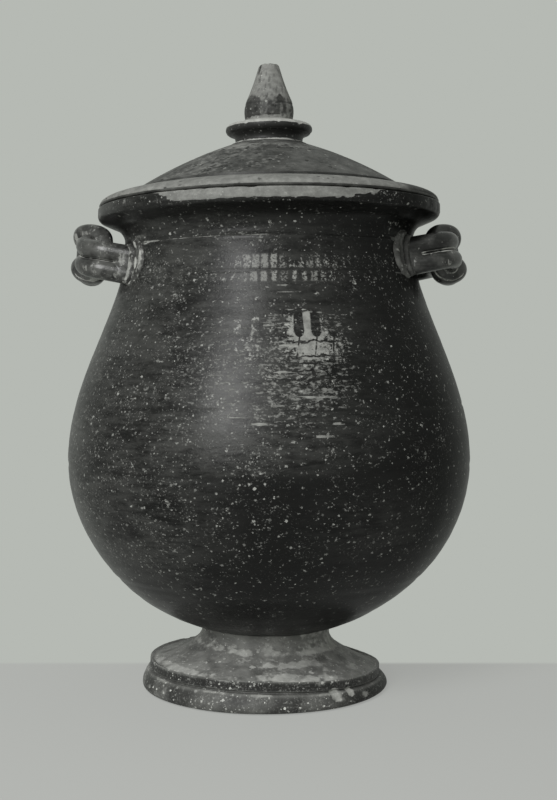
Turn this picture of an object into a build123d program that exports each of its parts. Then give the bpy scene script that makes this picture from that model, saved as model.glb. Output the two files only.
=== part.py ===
from build123d import *
import math
import os

# Lidded jar on a spreading foot, with a reef-knot handle on each side of the neck.
# Millimetres. The axis is Z and the resting plane is Z = 0.

# Jar: heights are stacked one on the next, from the table up.
FOOT_H = 26.4          # table to the underside of the bowl, on the axis
BOWL_DEPTH = 93.6      # underside of the bowl up to the widest girth
BELLY_R = 105.4        # widest girth
SHOULDER_H = 110.0     # widest girth up to the waist of the neck
BELLY_EASE = 42.7      # how long the shoulder stays upright above the girth
NECK_EASE = 30.8       # how long it stays upright below the waist of the neck
NECK_R = 76.1          # waist of the neck
WALL = 5.5             # thickness of the jar wall
COLLAR_H = 3.3         # upright neck between its waist and the spread of the rim
RIM_R = 90.1           # mouth rim
RIM_EDGE = 4.4         # upright outer edge of the mouth rim
RIM_SWELL = 3.4        # rounding under that edge
RIM_SLOPE = 23.0       # slope of the underside of the rim, degrees
RIM_COVE = 8.0         # hollow rounding between the neck and the rim
RIM_ROUND = 1.0        # softened arris of the mouth

# Foot
STEM_R = 33.8          # narrowest part of the foot, under the bowl
STEM_H = 29.0          # height at which the foot is narrowest
TORUS_R = 64.7         # lower rounded moulding
TORUS_H = 8.4
TORUS_LEDGE = 1.0      # the moulding ends this far outside the band above it
REST_OUT_R = 60.8      # outside of the ring that stands on the table
REST_IN_R = 54.5       # inside of that ring
FASCIA_R = 60.6        # upright band above the moulding
FASCIA_H = 4.6
FOOT_GROOVE = 0.9      # groove between moulding and band
LIP_W = 2.6            # raised lip along the top of the band
LIP_H = 0.7
FLARE_LOW = 8.6        # how far the flare keeps its low slope inside the lip
FLARE_SLOPE = 0.42     # that slope
FLARE_HIGH = 7.6       # how long it stays upright below the narrowest part
HOLLOW_R = 24.0        # hollow under the bowl
HOLLOW_SHOULDER = 18.0 # height at which the hollow starts to spread
HOLLOW_SAG = 2.8       # how far its spreading side curves off a straight cone

# Lid
LID_INSET = 0.9        # edge of the lid inside the edge of the mouth rim
LID_EDGE = 1.4         # upright part of the lid edge, above the mouth
LID_NOSE = 3.8         # upright pull of the rounded edge
DOME_R = 70.2          # foot of the dome
DOME_FOOT_H = 9.5      # foot of the dome above the mouth
CROWN_R = 20.5         # flat crown under the knob
DOME_RISE = 23.7       # foot of the dome up to the crown
DOME_SWELL = 1.6       # how far the dome bulges past a straight cone
DOME_WALL = 5.5
DOME_GROOVE = 0.7      # groove round the foot of the dome
RIM_LAP = 1.4          # width and drop of the edge beside that groove
FLANGE_GAP = 1.5       # play of the lid flange in the mouth
FLANGE_T = 4.5
FLANGE_DEPTH = 11.0

# Knob on the lid: a reel with a tapered finial
REEL_H = 12.9
REEL_R = 22.9
REEL_WAIST_R = 17.8
REEL_WAIST_H = 2.2
REEL_UNDER_R = 21.0
REEL_UNDER_H = 5.6
REEL_EDGE_H = 8.4
REEL_TOP_R = 20.8
REEL_TOP_H = 10.8
FINIAL_R = 12.4        # foot of the finial
FINIAL_H = 30.0
FINIAL_BULB_R = 13.1
FINIAL_BULB_H = 5.8
FINIAL_NECK_R = 12.0
FINIAL_NECK_H = 10.9
FINIAL_MID_R = 8.8
FINIAL_MID_H = 18.7
FINIAL_TIP_R = 5.7
FINIAL_TIP_DROP = 1.5  # rounding of the tip
FINIAL_FLAT_R = 4.4

# Handles: two looped clay rolls, each doubled, locked through each other
HANDLE_DROP = 7.8      # roots below the waist of the neck
HANDLE_TILT = 10.5     # rise of the handle outward, degrees
ROOT_SPREAD = 30.0     # roots to the front and back of the middle of the handle
KNOT_REACH = 24.0      # roots out to the middle of the knot
ROLL_R = 4.9           # clay roll in the knot
ROOT_ROLL_R = 5.3      # clay roll at the neck
STRAND = 4.7           # half the distance between the two rolls of one arm
CLIMB = 3.3            # half the step up and down with which one loop passes the other
FRONT_ARM_OUT = 0.2    # front loop, out from the middle of the knot: at its arm,
FRONT_PASS_OUT = -3.5  # where it passes inside the rear loop,
FRONT_BEND_OUT = 4.6   # and at its bend outside the rear arm
REAR_ARM_OUT = -4.0    # rear loop, likewise: at its arm,
REAR_PASS_OUT = 5.0    # where it passes outside the front loop,
REAR_BEND_OUT = -7.4   # and at its bend inside the front arm
TWIST = 12.0           # length along the handle of one pass
LOOP_END = 14.5        # bend of each loop from the middle of the knot
ARM_BEND = 12.0        # radius with which an arm turns into the knot
PLATE_T = 1.2          # leaf-shaped plate pressed on the neck at each root
PLATE_HALF_W = 11.5
PLATE_TOP = 13.0       # round top of the plate above the middle of the arm
PLATE_DROP = 11.5      # pointed tip of the plate below it
PLATE_SHIFT = 5.5      # plate lies this much further round the neck than the arm
BEAD_T = 1.2           # bead close round the rolls
BEAD_OUT = 2.4
GROOVE_W = 1.6         # groove between bead and plate
GROOVE_FLOOR = 0.6     # clay left in the bottom of the groove

BELLY_Z = FOOT_H + BOWL_DEPTH
NECK_Z = BELLY_Z + SHOULDER_H
RIM_LEAN = math.radians(RIM_SLOPE)
COVE_OUT = RIM_COVE * (1 - math.sin(RIM_LEAN))
SWELL_IN = RIM_SWELL * (1 - math.sin(RIM_LEAN))
COVE_Z = NECK_Z + COLLAR_H + RIM_COVE * math.cos(RIM_LEAN)
SWELL_Z = COVE_Z + (RIM_R - SWELL_IN - NECK_R - COVE_OUT) * math.tan(RIM_LEAN)
EDGE_Z = SWELL_Z + RIM_SWELL * math.cos(RIM_LEAN)
MOUTH_Z = EDGE_Z + RIM_EDGE
LID_R = RIM_R - LID_INSET
DOME_Z = MOUTH_Z + DOME_FOOT_H
CROWN_Z = DOME_Z + DOME_RISE
REEL_Z = CROWN_Z
FINIAL_Z = REEL_Z + REEL_H
MOUTH_BORE = NECK_R - WALL
ROUND = 0.5523         # share of the half axes at which a quarter curve comes out elliptical

os.makedirs("parts", exist_ok=True)


def turned(edges):
    """Solid of revolution about Z from a closed outline drawn as (radius, height)."""
    face = make_face(edges)
    return revolve(Plane.XZ * face, Axis.Z)


def jar_side(inset):
    """Bowl and shoulder curve, set in from the outer surface, from the axis to the neck."""
    wide = BELLY_R - inset
    narrow = NECK_R - inset
    deep = BOWL_DEPTH - inset
    bowl = Bezier(
        (0, BELLY_Z - deep),
        (wide * ROUND, BELLY_Z - deep),
        (wide, BELLY_Z - deep * ROUND),
        (wide, BELLY_Z),
    )
    shoulder = Bezier(
        (wide, BELLY_Z),
        (wide, BELLY_Z + BELLY_EASE),
        (narrow, NECK_Z - NECK_EASE),
        (narrow, NECK_Z),
    )
    return [bowl, shoulder]


def rim_outer():
    """Outside of the mouth rim, from the waist of the neck to the flat mouth."""
    collar_z = NECK_Z + COLLAR_H
    cove = (NECK_R + COVE_OUT, COVE_Z)
    swell = (RIM_R - SWELL_IN, SWELL_Z)
    slope = (math.cos(RIM_LEAN), math.sin(RIM_LEAN))
    neck = Line((NECK_R, NECK_Z), (NECK_R, collar_z))
    hollow = TangentArc((NECK_R, collar_z), cove, tangent=(0, 1))
    under = Line(cove, swell)
    round_edge = TangentArc(swell, (RIM_R, EDGE_Z), tangent=slope)
    upright = Line((RIM_R, EDGE_Z), (RIM_R, MOUTH_Z - RIM_ROUND))
    arris = TangentArc((RIM_R, MOUTH_Z - RIM_ROUND), (RIM_R - RIM_ROUND, MOUTH_Z), tangent=(0, 1))
    return [neck, hollow, under, round_edge, upright, arris]


def jar_block():
    """The jar as a solid lump without its hollow, used to trim what is luted to it."""
    closing = [
        Line((RIM_R - RIM_ROUND, MOUTH_Z), (0, MOUTH_Z)),
        Line((0, MOUTH_Z), (0, FOOT_H)),
    ]
    return turned(jar_side(0) + rim_outer() + closing)


def jar():
    """Bowl, shoulder, neck and mouth rim, hollow inside."""
    mouth_in = MOUTH_BORE + RIM_ROUND
    mouth = [
        Line((RIM_R - RIM_ROUND, MOUTH_Z), (mouth_in, MOUTH_Z)),
        TangentArc((mouth_in, MOUTH_Z), (MOUTH_BORE, MOUTH_Z - RIM_ROUND), tangent=(-1, 0)),
        Line((MOUTH_BORE, MOUTH_Z - RIM_ROUND), (MOUTH_BORE, NECK_Z)),
    ]
    floor = [Line((0, FOOT_H + WALL), (0, FOOT_H))]
    return turned(jar_side(0) + rim_outer() + mouth + jar_side(WALL) + floor)


def pedestal(block):
    """Spreading foot with two mouldings, hollow underneath, luted under the bowl."""
    band_low = TORUS_H + FOOT_GROOVE
    lip_z = band_low + FASCIA_H
    dish_r = FASCIA_R - LIP_W
    dish_z = lip_z - LIP_H
    top = FOOT_H + WALL * 2
    torus_mid = TORUS_H / 2
    ledge_r = FASCIA_R + TORUS_LEDGE
    groove = (FASCIA_R - FOOT_GROOVE, TORUS_H + FOOT_GROOVE / 2)
    outline = [
        Line((REST_IN_R, 0), (REST_OUT_R, 0)),
        ThreePointArc((REST_OUT_R, 0), (TORUS_R, torus_mid), (ledge_r, TORUS_H)),
        Line((ledge_r, TORUS_H), groove),
        Line(groove, (FASCIA_R, band_low)),
        Line((FASCIA_R, band_low), (FASCIA_R, dish_z)),
        TangentArc((FASCIA_R, dish_z), (FASCIA_R - LIP_H, lip_z), tangent=(0, 1)),
        Line((FASCIA_R - LIP_H, lip_z), (dish_r, dish_z)),
        Bezier(
            (dish_r, dish_z),
            (dish_r - FLARE_LOW, dish_z + FLARE_LOW * FLARE_SLOPE),
            (STEM_R, STEM_H - FLARE_HIGH),
            (STEM_R, STEM_H),
        ),
        Line((STEM_R, STEM_H), (STEM_R, top)),
        Line((STEM_R, top), (HOLLOW_R, top)),
        Line((HOLLOW_R, top), (HOLLOW_R, HOLLOW_SHOULDER)),
        SagittaArc((HOLLOW_R, HOLLOW_SHOULDER), (REST_IN_R, 0), HOLLOW_SAG),
    ]
    return turned(outline) - block


def lid():
    """Domed lid with a rounded edge and a flange that drops into the mouth."""
    chord_r = DOME_R - CROWN_R
    chord = math.hypot(chord_r, DOME_RISE)
    out_r = DOME_RISE / chord
    out_z = chord_r / chord
    dome_rad = chord * chord / (8 * DOME_SWELL) + DOME_SWELL / 2
    mid_r = (DOME_R + CROWN_R) / 2
    mid_z = DOME_Z + DOME_RISE / 2
    centre_r = mid_r - out_r * (dome_rad - DOME_SWELL)
    centre_z = mid_z - out_z * (dome_rad - DOME_SWELL)
    bulge = (mid_r + out_r * DOME_SWELL, mid_z + out_z * DOME_SWELL)

    inner_rad = dome_rad - DOME_WALL
    flange_out = MOUTH_BORE - FLANGE_GAP
    flange_in = flange_out - FLANGE_T
    flange_z = MOUTH_Z - FLANGE_DEPTH
    spring_z = centre_z + math.sqrt(inner_rad ** 2 - (flange_in - centre_r) ** 2)
    ceiling_z = CROWN_Z - DOME_WALL
    ceiling_r = centre_r + math.sqrt(inner_rad ** 2 - (ceiling_z - centre_z) ** 2)
    half_r = (flange_in + ceiling_r) / 2
    half_z = centre_z + math.sqrt(inner_rad ** 2 - (half_r - centre_r) ** 2)

    edge_z = MOUTH_Z + LID_EDGE
    lap_r = DOME_R + RIM_LAP
    lap_z = DOME_Z - RIM_LAP
    tip = FLANGE_T / 2
    outline = [
        Line((0, CROWN_Z), (CROWN_R, CROWN_Z)),
        ThreePointArc((CROWN_R, CROWN_Z), bulge, (DOME_R, DOME_Z)),
        Line((DOME_R, DOME_Z), (DOME_R + DOME_GROOVE, lap_z - DOME_GROOVE)),
        Line((DOME_R + DOME_GROOVE, lap_z - DOME_GROOVE), (lap_r, lap_z)),
        Bezier(
            (lap_r, lap_z),
            ((lap_r + LID_R) / 2, lap_z - RIM_LAP),
            (LID_R, edge_z + LID_NOSE),
            (LID_R, edge_z),
        ),
        TangentArc((LID_R, edge_z), (LID_R - LID_EDGE, MOUTH_Z), tangent=(0, -1)),
        Line((LID_R - LID_EDGE, MOUTH_Z), (flange_out, MOUTH_Z)),
        Line((flange_out, MOUTH_Z), (flange_out, flange_z + tip)),
        TangentArc((flange_out, flange_z + tip), (flange_out - tip, flange_z), tangent=(0, -1)),
        TangentArc((flange_out - tip, flange_z), (flange_in, flange_z + tip), tangent=(-1, 0)),
        Line((flange_in, flange_z + tip), (flange_in, spring_z)),
        ThreePointArc((flange_in, spring_z), (half_r, half_z), (ceiling_r, ceiling_z)),
        Line((ceiling_r, ceiling_z), (0, ceiling_z)),
        Line((0, ceiling_z), (0, CROWN_Z)),
    ]
    return turned(outline)


def reel():
    """Reel-shaped knob standing on the crown of the lid."""
    z = REEL_Z
    outline = [
        Line((0, z), (CROWN_R, z)),
        TangentArc((REEL_WAIST_R, z + REEL_WAIST_H), (CROWN_R, z), tangent=(0, -1)),
        TangentArc(
            (REEL_WAIST_R, z + REEL_WAIST_H),
            (REEL_UNDER_R, z + REEL_UNDER_H),
            tangent=(0, 1),
        ),
        ThreePointArc(
            (REEL_UNDER_R, z + REEL_UNDER_H),
            (REEL_R, z + REEL_EDGE_H),
            (REEL_TOP_R, z + REEL_TOP_H),
        ),
        Line((REEL_TOP_R, z + REEL_TOP_H), (FINIAL_R, z + REEL_H)),
        Line((FINIAL_R, z + REEL_H), (0, z + REEL_H)),
        Line((0, z + REEL_H), (0, z)),
    ]
    return turned(outline)


def finial():
    """Bulbous tapered finial on top of the reel."""
    z = FINIAL_Z
    tip_z = z + FINIAL_H - FINIAL_TIP_DROP
    outline = [
        Line((0, z), (FINIAL_R, z)),
        ThreePointArc(
            (FINIAL_R, z),
            (FINIAL_BULB_R, z + FINIAL_BULB_H),
            (FINIAL_NECK_R, z + FINIAL_NECK_H),
        ),
        ThreePointArc(
            (FINIAL_NECK_R, z + FINIAL_NECK_H),
            (FINIAL_MID_R, z + FINIAL_MID_H),
            (FINIAL_TIP_R, tip_z),
        ),
        TangentArc((FINIAL_FLAT_R, z + FINIAL_H), (FINIAL_TIP_R, tip_z), tangent=(1, 0)),
        Line((FINIAL_FLAT_R, z + FINIAL_H), (0, z + FINIAL_H)),
        Line((0, z + FINIAL_H), (0, z)),
    ]
    return turned(outline)


def two_arcs(start, start_dir, end, end_dir):
    """Two arcs that leave start and reach end in the given directions without a kink."""
    span = end - start
    turn = 2 * (1 - start_dir.dot(end_dir))
    along = 2 * span.dot(start_dir + end_dir)
    if turn < 1e-9:
        pull = span.dot(span) / along
    else:
        pull = (math.sqrt(along * along + 4 * turn * span.dot(span)) - along) / (2 * turn)
    near = start + start_dir * pull
    far = end - end_dir * pull
    middle = (near + far) * 0.5
    middle_dir = (far - near).normalized()
    return [
        TangentArc(start, middle, tangent=start_dir),
        TangentArc(middle, end, tangent=middle_dir),
    ]


def loop_stations(side):
    """Points and directions along the upper roll of one loop, in the handle's own frame.

    The frame has X outward, Y to the back and Z up from the middle of the arm. Side -1
    is the loop that comes from the front root and side 1 the one from the rear root.
    """
    if side < 0:
        arm, middle, end = FRONT_ARM_OUT, FRONT_PASS_OUT, FRONT_BEND_OUT
    else:
        arm, middle, end = REAR_ARM_OUT, REAR_PASS_OUT, REAR_BEND_OUT
    onward = -side
    arm_x = KNOT_REACH + arm
    arm_y = side * ROOT_SPREAD
    half = TWIST / 2
    swing = math.pi / 2 / TWIST
    return [
        (Vector(arm_x - ARM_BEND, arm_y, STRAND), Vector(1, 0, 0)),
        (Vector(arm_x, arm_y + onward * ARM_BEND, STRAND), Vector(0, onward, 0)),
        (
            Vector(KNOT_REACH + (arm + middle) / 2, -onward * half, STRAND),
            Vector((middle - arm) * swing, onward, 0),
        ),
        (
            Vector(KNOT_REACH + middle, 0, STRAND + CLIMB),
            Vector(0, onward, 2 * CLIMB * swing),
        ),
        (
            Vector(KNOT_REACH + (middle + end) / 2, onward * half, STRAND + 2 * CLIMB),
            Vector((end - middle) * swing, onward, 0),
        ),
        (Vector(KNOT_REACH + end, onward * LOOP_END, 0), Vector(0, 0, -1)),
    ]


def loop(side):
    """One doubled roll: an arm that thickens to the neck, the pass and the bend."""
    stations = loop_stations(side)
    edges = []
    for (start, start_dir), (end, end_dir) in zip(stations, stations[1:]):
        edges += two_arcs(start, start_dir.normalized(), end, end_dir.normalized())
    arm_end = stations[0][0]
    roll = sweep(Plane(arm_end, z_dir=(1, 0, 0)) * Circle(ROLL_R), path=Wire(edges))
    arm = Cone(ROLL_R, ROOT_ROLL_R, arm_end.X + WALL * 2, align=(Align.CENTER, Align.CENTER, Align.MIN))
    roll += Plane(arm_end, z_dir=(-1, 0, 0)) * arm
    reach = 4 * (KNOT_REACH + ROOT_SPREAD)
    upper = Box(reach, reach, reach, align=(Align.CENTER, Align.CENTER, Align.MIN))
    roll = roll & upper
    return roll + mirror(roll, about=Plane.XY)


def neck_shell(grow):
    """Solid lump that stands the given distance proud of the shoulder and neck."""
    top = [
        Line((NECK_R + grow, NECK_Z), (NECK_R + grow, MOUTH_Z)),
        Line((NECK_R + grow, MOUTH_Z), (0, MOUTH_Z)),
        Line((0, MOUTH_Z), (0, FOOT_H - grow)),
    ]
    return turned(jar_side(-grow) + top)


def slot(side, grow):
    """Upright prism round both rolls of an arm, grown by a margin, in the handle's frame."""
    half_w = ROOT_ROLL_R + grow
    outline = SlotOverall(2 * (half_w + STRAND), 2 * half_w, rotation=90)
    across = Plane((-WALL * 2, side * ROOT_SPREAD, 0), x_dir=(0, 1, 0), z_dir=(1, 0, 0))
    return across * extrude(outline, WALL * 2 + KNOT_REACH)


def leaf(side):
    """Prism with the outline of the plate: round at the top, pointed at the bottom."""
    side_z = PLATE_TOP - PLATE_HALF_W
    outline = make_face([
        TangentArc((0, PLATE_TOP), (-PLATE_HALF_W, side_z), tangent=(-1, 0)),
        TangentArc((-PLATE_HALF_W, side_z), (0, -PLATE_DROP), tangent=(0, -1)),
        TangentArc((PLATE_HALF_W, side_z), (0, -PLATE_DROP), tangent=(0, -1)),
        TangentArc((0, PLATE_TOP), (PLATE_HALF_W, side_z), tangent=(1, 0)),
    ])
    turn = math.asin(ROOT_SPREAD / NECK_R) + PLATE_SHIFT / NECK_R
    outward = Vector(math.cos(turn), side * math.sin(turn), 0)
    around = Vector(-side * math.sin(turn), math.cos(turn), 0)
    start = outward * (NECK_R - WALL * 2) + Vector(0, 0, NECK_Z - HANDLE_DROP)
    return Plane(start, x_dir=around, z_dir=outward) * extrude(outline, WALL * 4)


def root_plate(side, frame, block, arm):
    """Leaf-shaped plate with a bead round the rolls and a groove outside the bead."""
    groove = frame * slot(side, BEAD_T + GROOVE_W) - neck_shell(GROOVE_FLOOR)
    bead = frame * slot(side, BEAD_T) & neck_shell(BEAD_OUT)
    plate = leaf(side) & neck_shell(PLATE_T)
    return plate - groove + bead - block - arm


block = jar_block()
root_x = math.sqrt(NECK_R ** 2 - ROOT_SPREAD ** 2)
tilt = math.radians(HANDLE_TILT)
handle_frame = Plane(
    (root_x, 0, NECK_Z - HANDLE_DROP),
    x_dir=(math.cos(tilt), 0, math.sin(tilt)),
    z_dir=(-math.sin(tilt), 0, math.cos(tilt)),
)

pieces = {
    "jar_body": jar(),
    "foot": pedestal(block),
    "lid_dome": lid(),
    "lid_reel": reel(),
    "lid_finial": finial(),
}

front = handle_frame * loop(-1) - block
rear = handle_frame * loop(1) - block - front
front_plate = root_plate(-1, handle_frame, block, front)
rear_plate = root_plate(1, handle_frame, block, rear)
handle_pieces = {
    "front_loop": front,
    "rear_loop": rear,
    "front_plate": front_plate,
    "rear_plate": rear_plate,
}
for name, solid in handle_pieces.items():
    pieces["right_" + name] = solid
    pieces["left_" + name] = mirror(solid, about=Plane.YZ)

for name, solid in pieces.items():
    export_step(solid, "parts/" + name + ".step")
    print(name, round(solid.volume, 1), len(solid.solids()), solid.is_valid)
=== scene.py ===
"""Footed lidded jar with reef-knot handles: its looks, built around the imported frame."""

import logging
import math
from collections.abc import Sequence
from dataclasses import dataclass, field
from enum import Enum
from functools import cached_property, reduce

import bpy
import numpy as np
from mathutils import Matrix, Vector, noise

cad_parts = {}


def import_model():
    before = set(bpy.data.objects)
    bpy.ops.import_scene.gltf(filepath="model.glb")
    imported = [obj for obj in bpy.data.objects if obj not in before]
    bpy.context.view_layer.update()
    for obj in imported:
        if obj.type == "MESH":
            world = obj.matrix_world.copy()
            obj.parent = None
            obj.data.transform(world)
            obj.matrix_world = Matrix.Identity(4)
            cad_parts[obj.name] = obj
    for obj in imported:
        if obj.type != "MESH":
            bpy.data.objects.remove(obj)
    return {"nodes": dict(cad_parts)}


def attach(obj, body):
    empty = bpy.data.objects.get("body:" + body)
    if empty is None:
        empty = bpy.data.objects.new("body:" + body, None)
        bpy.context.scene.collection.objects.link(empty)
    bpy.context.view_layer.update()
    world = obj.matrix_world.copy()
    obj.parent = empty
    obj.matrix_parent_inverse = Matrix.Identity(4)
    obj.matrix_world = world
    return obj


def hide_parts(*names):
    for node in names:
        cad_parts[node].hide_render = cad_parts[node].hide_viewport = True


LOG = logging.getLogger("jar")
SHARP_ANGLE = math.radians(38.0)

Point = tuple[float, float]
Tone = tuple[float, float, float, float]
Socket = bpy.types.NodeSocket
Feed = Socket | float | tuple[float, ...]
Feeds = dict[str | int, Feed]


class Side(Enum):
    """The two sides of the jar that carry a handle."""

    LEFT = -1
    RIGHT = 1


class Loop(Enum):
    """The two interlocked loops of a handle, by the root they come from."""

    FRONT = -1
    REAR = 1


def grey(level: float) -> Tone:
    """Return the faintly green grey of the fired slip and clay at a level from 0 to 1."""
    return (level, level * 1.012, level * 0.955, 1.0)


def smooth(low: float, high: float, value: np.ndarray) -> np.ndarray:
    """Rise softly from 0 at low to 1 at high."""
    share = np.clip((value - low) / (high - low), 0.0, 1.0)
    return share * share * (3.0 - 2.0 * share)


def bell(middle: float, width: float, value: np.ndarray) -> np.ndarray:
    """Return a soft hump of height 1 round a middle value."""
    return np.exp(-(((value - middle) / width) ** 2))


def band(start: float, full: float, fall: float, end: float, value: np.ndarray) -> np.ndarray:
    """Rise from 0 at start to 1 at full, stay, and drop from 1 at fall to 0 at end."""
    return smooth(start, full, value) * (1.0 - smooth(fall, end, value))


def rightward(low: float, high: float, azimuth: np.ndarray) -> np.ndarray:
    """Rise from 0 to 1 towards the right of the front and fall again towards the back."""
    return band(low, high, 1.9, 2.6, azimuth)


def limit(value: np.ndarray, top: float = 1.0) -> np.ndarray:
    """Keep values between 0 and a top."""
    return np.clip(value, 0.0, top)


def grain(points: np.ndarray, pitch: float, seed: float = 0.0) -> np.ndarray:
    """Sample smooth noise at points.

    Args:
        points: Array of points with three coordinates last, in metres.
        pitch: Size of the lumps, in metres.
        seed: Offset that gives another pattern.

    Returns:
        Array of values from about -1 to 1, one for each point.
    """
    spots = (points.reshape(-1, 3) / pitch + seed).tolist()
    return np.array([noise.noise(spot) for spot in spots]).reshape(points.shape[:-1])


@dataclass(frozen=True)
class Lean:
    """How the jar leans: the crown rises to the right and the foot sits askew under the bowl."""

    crown_slope: float = 0.016
    foot_slope: float = -0.030
    foot_shift: float = -0.0021
    girth_z: float = 0.120
    crown_z: float = 0.212
    foot_low_z: float = 0.010
    foot_high_z: float = 0.014
    stem_z: float = 0.050
    bowl_z: float = 0.075

    def settle(self, points: np.ndarray) -> np.ndarray:
        """Move points of the true round shape to where the leaning jar has them.

        Args:
            points: Points of the true round shape.

        Returns:
            The moved points.
        """
        height = points[..., 2]
        crown = self.crown_slope * smooth(self.girth_z, self.crown_z, height)
        foot = smooth(0.0, self.foot_low_z, height) * (1.0 - smooth(self.foot_high_z, self.stem_z, height))
        moved = points.copy()
        moved[..., 2] += (crown + self.foot_slope * foot) * points[..., 0]
        moved[..., 0] += self.foot_shift * (1.0 - smooth(self.foot_high_z, self.bowl_z, height))
        return moved


class Outline:
    """Outline of a turned piece, drawn stretch by stretch as (radius, height)."""

    DENSE = 0.0002

    def __init__(self, radius: float, height: float) -> None:
        """Start the outline at a point."""
        self.points: list[Point] = [(radius, height)]
        self.spacing: list[float] = [0.0]

    def _stretch(self, points: np.ndarray, spacing: float) -> "Outline":
        """Add sampled points, always keeping the last one.

        Args:
            points: Points of the stretch after its start.
            spacing: Distance between the points that are kept.

        Returns:
            The outline itself.
        """
        for point in points:
            self.points.append((float(point[0]), float(point[1])))
            self.spacing.append(spacing)
        self.spacing[-1] = 0.0
        return self

    def _steps(self, length: float) -> np.ndarray:
        """Return even shares from just above 0 up to 1 for a stretch of that length."""
        count = max(2, math.ceil(length / self.DENSE))
        return np.arange(1, count + 1) / count

    def line(self, radius: float, height: float, spacing: float) -> "Outline":
        """Draw a straight stretch.

        Args:
            radius: Radius of the end.
            height: Height of the end.
            spacing: Distance between the points that are kept.

        Returns:
            The outline itself.
        """
        start, end = np.array(self.points[-1]), np.array((radius, height))
        share = self._steps(math.dist(start, end))[:, None]
        return self._stretch(start + (end - start) * share, spacing)

    def curve(self, near: Point, far: Point, end: Point, spacing: float) -> "Outline":
        """Draw a free curve that leaves towards near and arrives from far.

        Args:
            near: Point that the curve leaves towards.
            far: Point that it arrives from.
            end: End of the curve.
            spacing: Distance between the points that are kept.

        Returns:
            The outline itself.
        """
        a, b, c, d = (np.array(p) for p in (self.points[-1], near, far, end))
        length = math.dist(a, b) + math.dist(b, c) + math.dist(c, d)
        t = self._steps(length)[:, None]
        u = 1.0 - t
        return self._stretch(a * u**3 + 3 * b * t * u**2 + 3 * c * u * t**2 + d * t**3, spacing)

    def arc(self, end: Point, leave: Point, spacing: float) -> "Outline":
        """Draw an arc that leaves the last point in the given direction.

        Args:
            end: End of the arc.
            leave: Direction at its start.
            spacing: Distance between the points that are kept.

        Returns:
            The outline itself.
        """
        start = np.array((*self.points[-1], 0.0))
        course = sample_arc(start, np.array((*leave, 0.0)), np.array((*end, 0.0)), self.DENSE)
        return self._stretch(course[1:, :2], spacing)

    def through(self, middle: Point, end: Point, spacing: float) -> "Outline":
        """Draw an arc through a middle point.

        Args:
            middle: Point on the arc.
            end: End of the arc.
            spacing: Distance between the points that are kept.

        Returns:
            The outline itself.
        """
        a, b, c = (np.array(p) for p in (self.points[-1], middle, end))
        turn = 2.0 * ((b - a)[0] * (c - a)[1] - (b - a)[1] * (c - a)[0])
        ab, ac = float((b - a) @ (b - a)), float((c - a) @ (c - a))
        centre_r = ((c - a)[1] * ab - (b - a)[1] * ac) / turn
        centre_z = ((b - a)[0] * ac - (c - a)[0] * ab) / turn
        across = (centre_z, -centre_r) if turn > 0 else (-centre_z, centre_r)
        return self.arc(end, across, spacing)

    def rings(self) -> np.ndarray:
        """Return the outline's points at the spacing asked for.

        Returns:
            Array of points, each a radius and a height.
        """
        kept = [self.points[0]]
        for point, spacing in zip(self.points[1:], self.spacing[1:]):
            if math.dist(point, kept[-1]) >= spacing:
                kept.append(point)
        return np.array(kept)


def sample_arc(start: np.ndarray, leave: np.ndarray, end: np.ndarray, step: float) -> np.ndarray:
    """Sample an arc that leaves start in a direction and reaches end.

    Args:
        start: First point.
        leave: Direction at the first point, of any length.
        end: Last point.
        step: Distance between samples.

    Returns:
        Array of points from start to end.
    """
    ahead = leave / np.linalg.norm(leave)
    chord = end - start
    along = float(chord @ ahead)
    aside = chord - along * ahead
    off = float(np.linalg.norm(aside))
    if off < 1e-9:
        count = max(2, math.ceil(along / step))
        return start + chord * (np.arange(count + 1) / count)[:, None]
    radius = float(chord @ chord) / (2.0 * off)
    sweep = 2.0 * math.atan2(off, along)
    count = max(3, math.ceil(radius * sweep / step))
    angle = sweep * (np.arange(count + 1) / count)[:, None]
    return start + radius * (np.sin(angle) * ahead + (1.0 - np.cos(angle)) * aside / off)


@dataclass
class Skin:
    """Closed surface of one piece, with painted marks at its points."""

    points: np.ndarray
    faces: list[tuple[int, ...]]
    marks: dict[str, np.ndarray] = field(default_factory=dict)

    def volume(self) -> float:
        """Return the signed volume, negative where the faces look inward.

        Returns:
            The volume, in cubic metres.
        """
        total = 0.0
        for face in self.faces:
            first = self.points[face[0]]
            for second, third in zip(face[1:-1], face[2:]):
                total += float(first @ np.cross(self.points[second], self.points[third]))
        return total / 6.0

    def piece(
        self, name: str, body: str, node: str, slot: str, finish: bpy.types.Material
    ) -> bpy.types.Object:
        """Make the Blender object that stands for a node of the frame.

        Args:
            name: Name of the piece.
            body: Body of the frame that the piece rides on.
            node: Node of the frame that the piece stands for.
            slot: Name of a material slot; not used.
            finish: Material of the piece.

        Returns:
            The new object.
        """
        faces = self.faces if self.volume() > 0.0 else [face[::-1] for face in self.faces]
        mesh = bpy.data.meshes.new(name)
        mesh.from_pydata(self.points.tolist(), [], faces)
        mesh.shade_smooth()
        mesh.set_sharp_from_angle(angle=SHARP_ANGLE)
        for mark, values in self.marks.items():
            layer = mesh.attributes.new(mark, "FLOAT", "POINT")
            layer.data.foreach_set("value", values.astype(np.float32))
        mesh.materials.append(finish)
        piece = bpy.data.objects.new(name, mesh)
        bpy.context.scene.collection.objects.link(piece)
        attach(piece, body)
        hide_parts(node)
        LOG.info("%s: %d points, %d faces", name, len(self.points), len(faces))
        return piece


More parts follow.
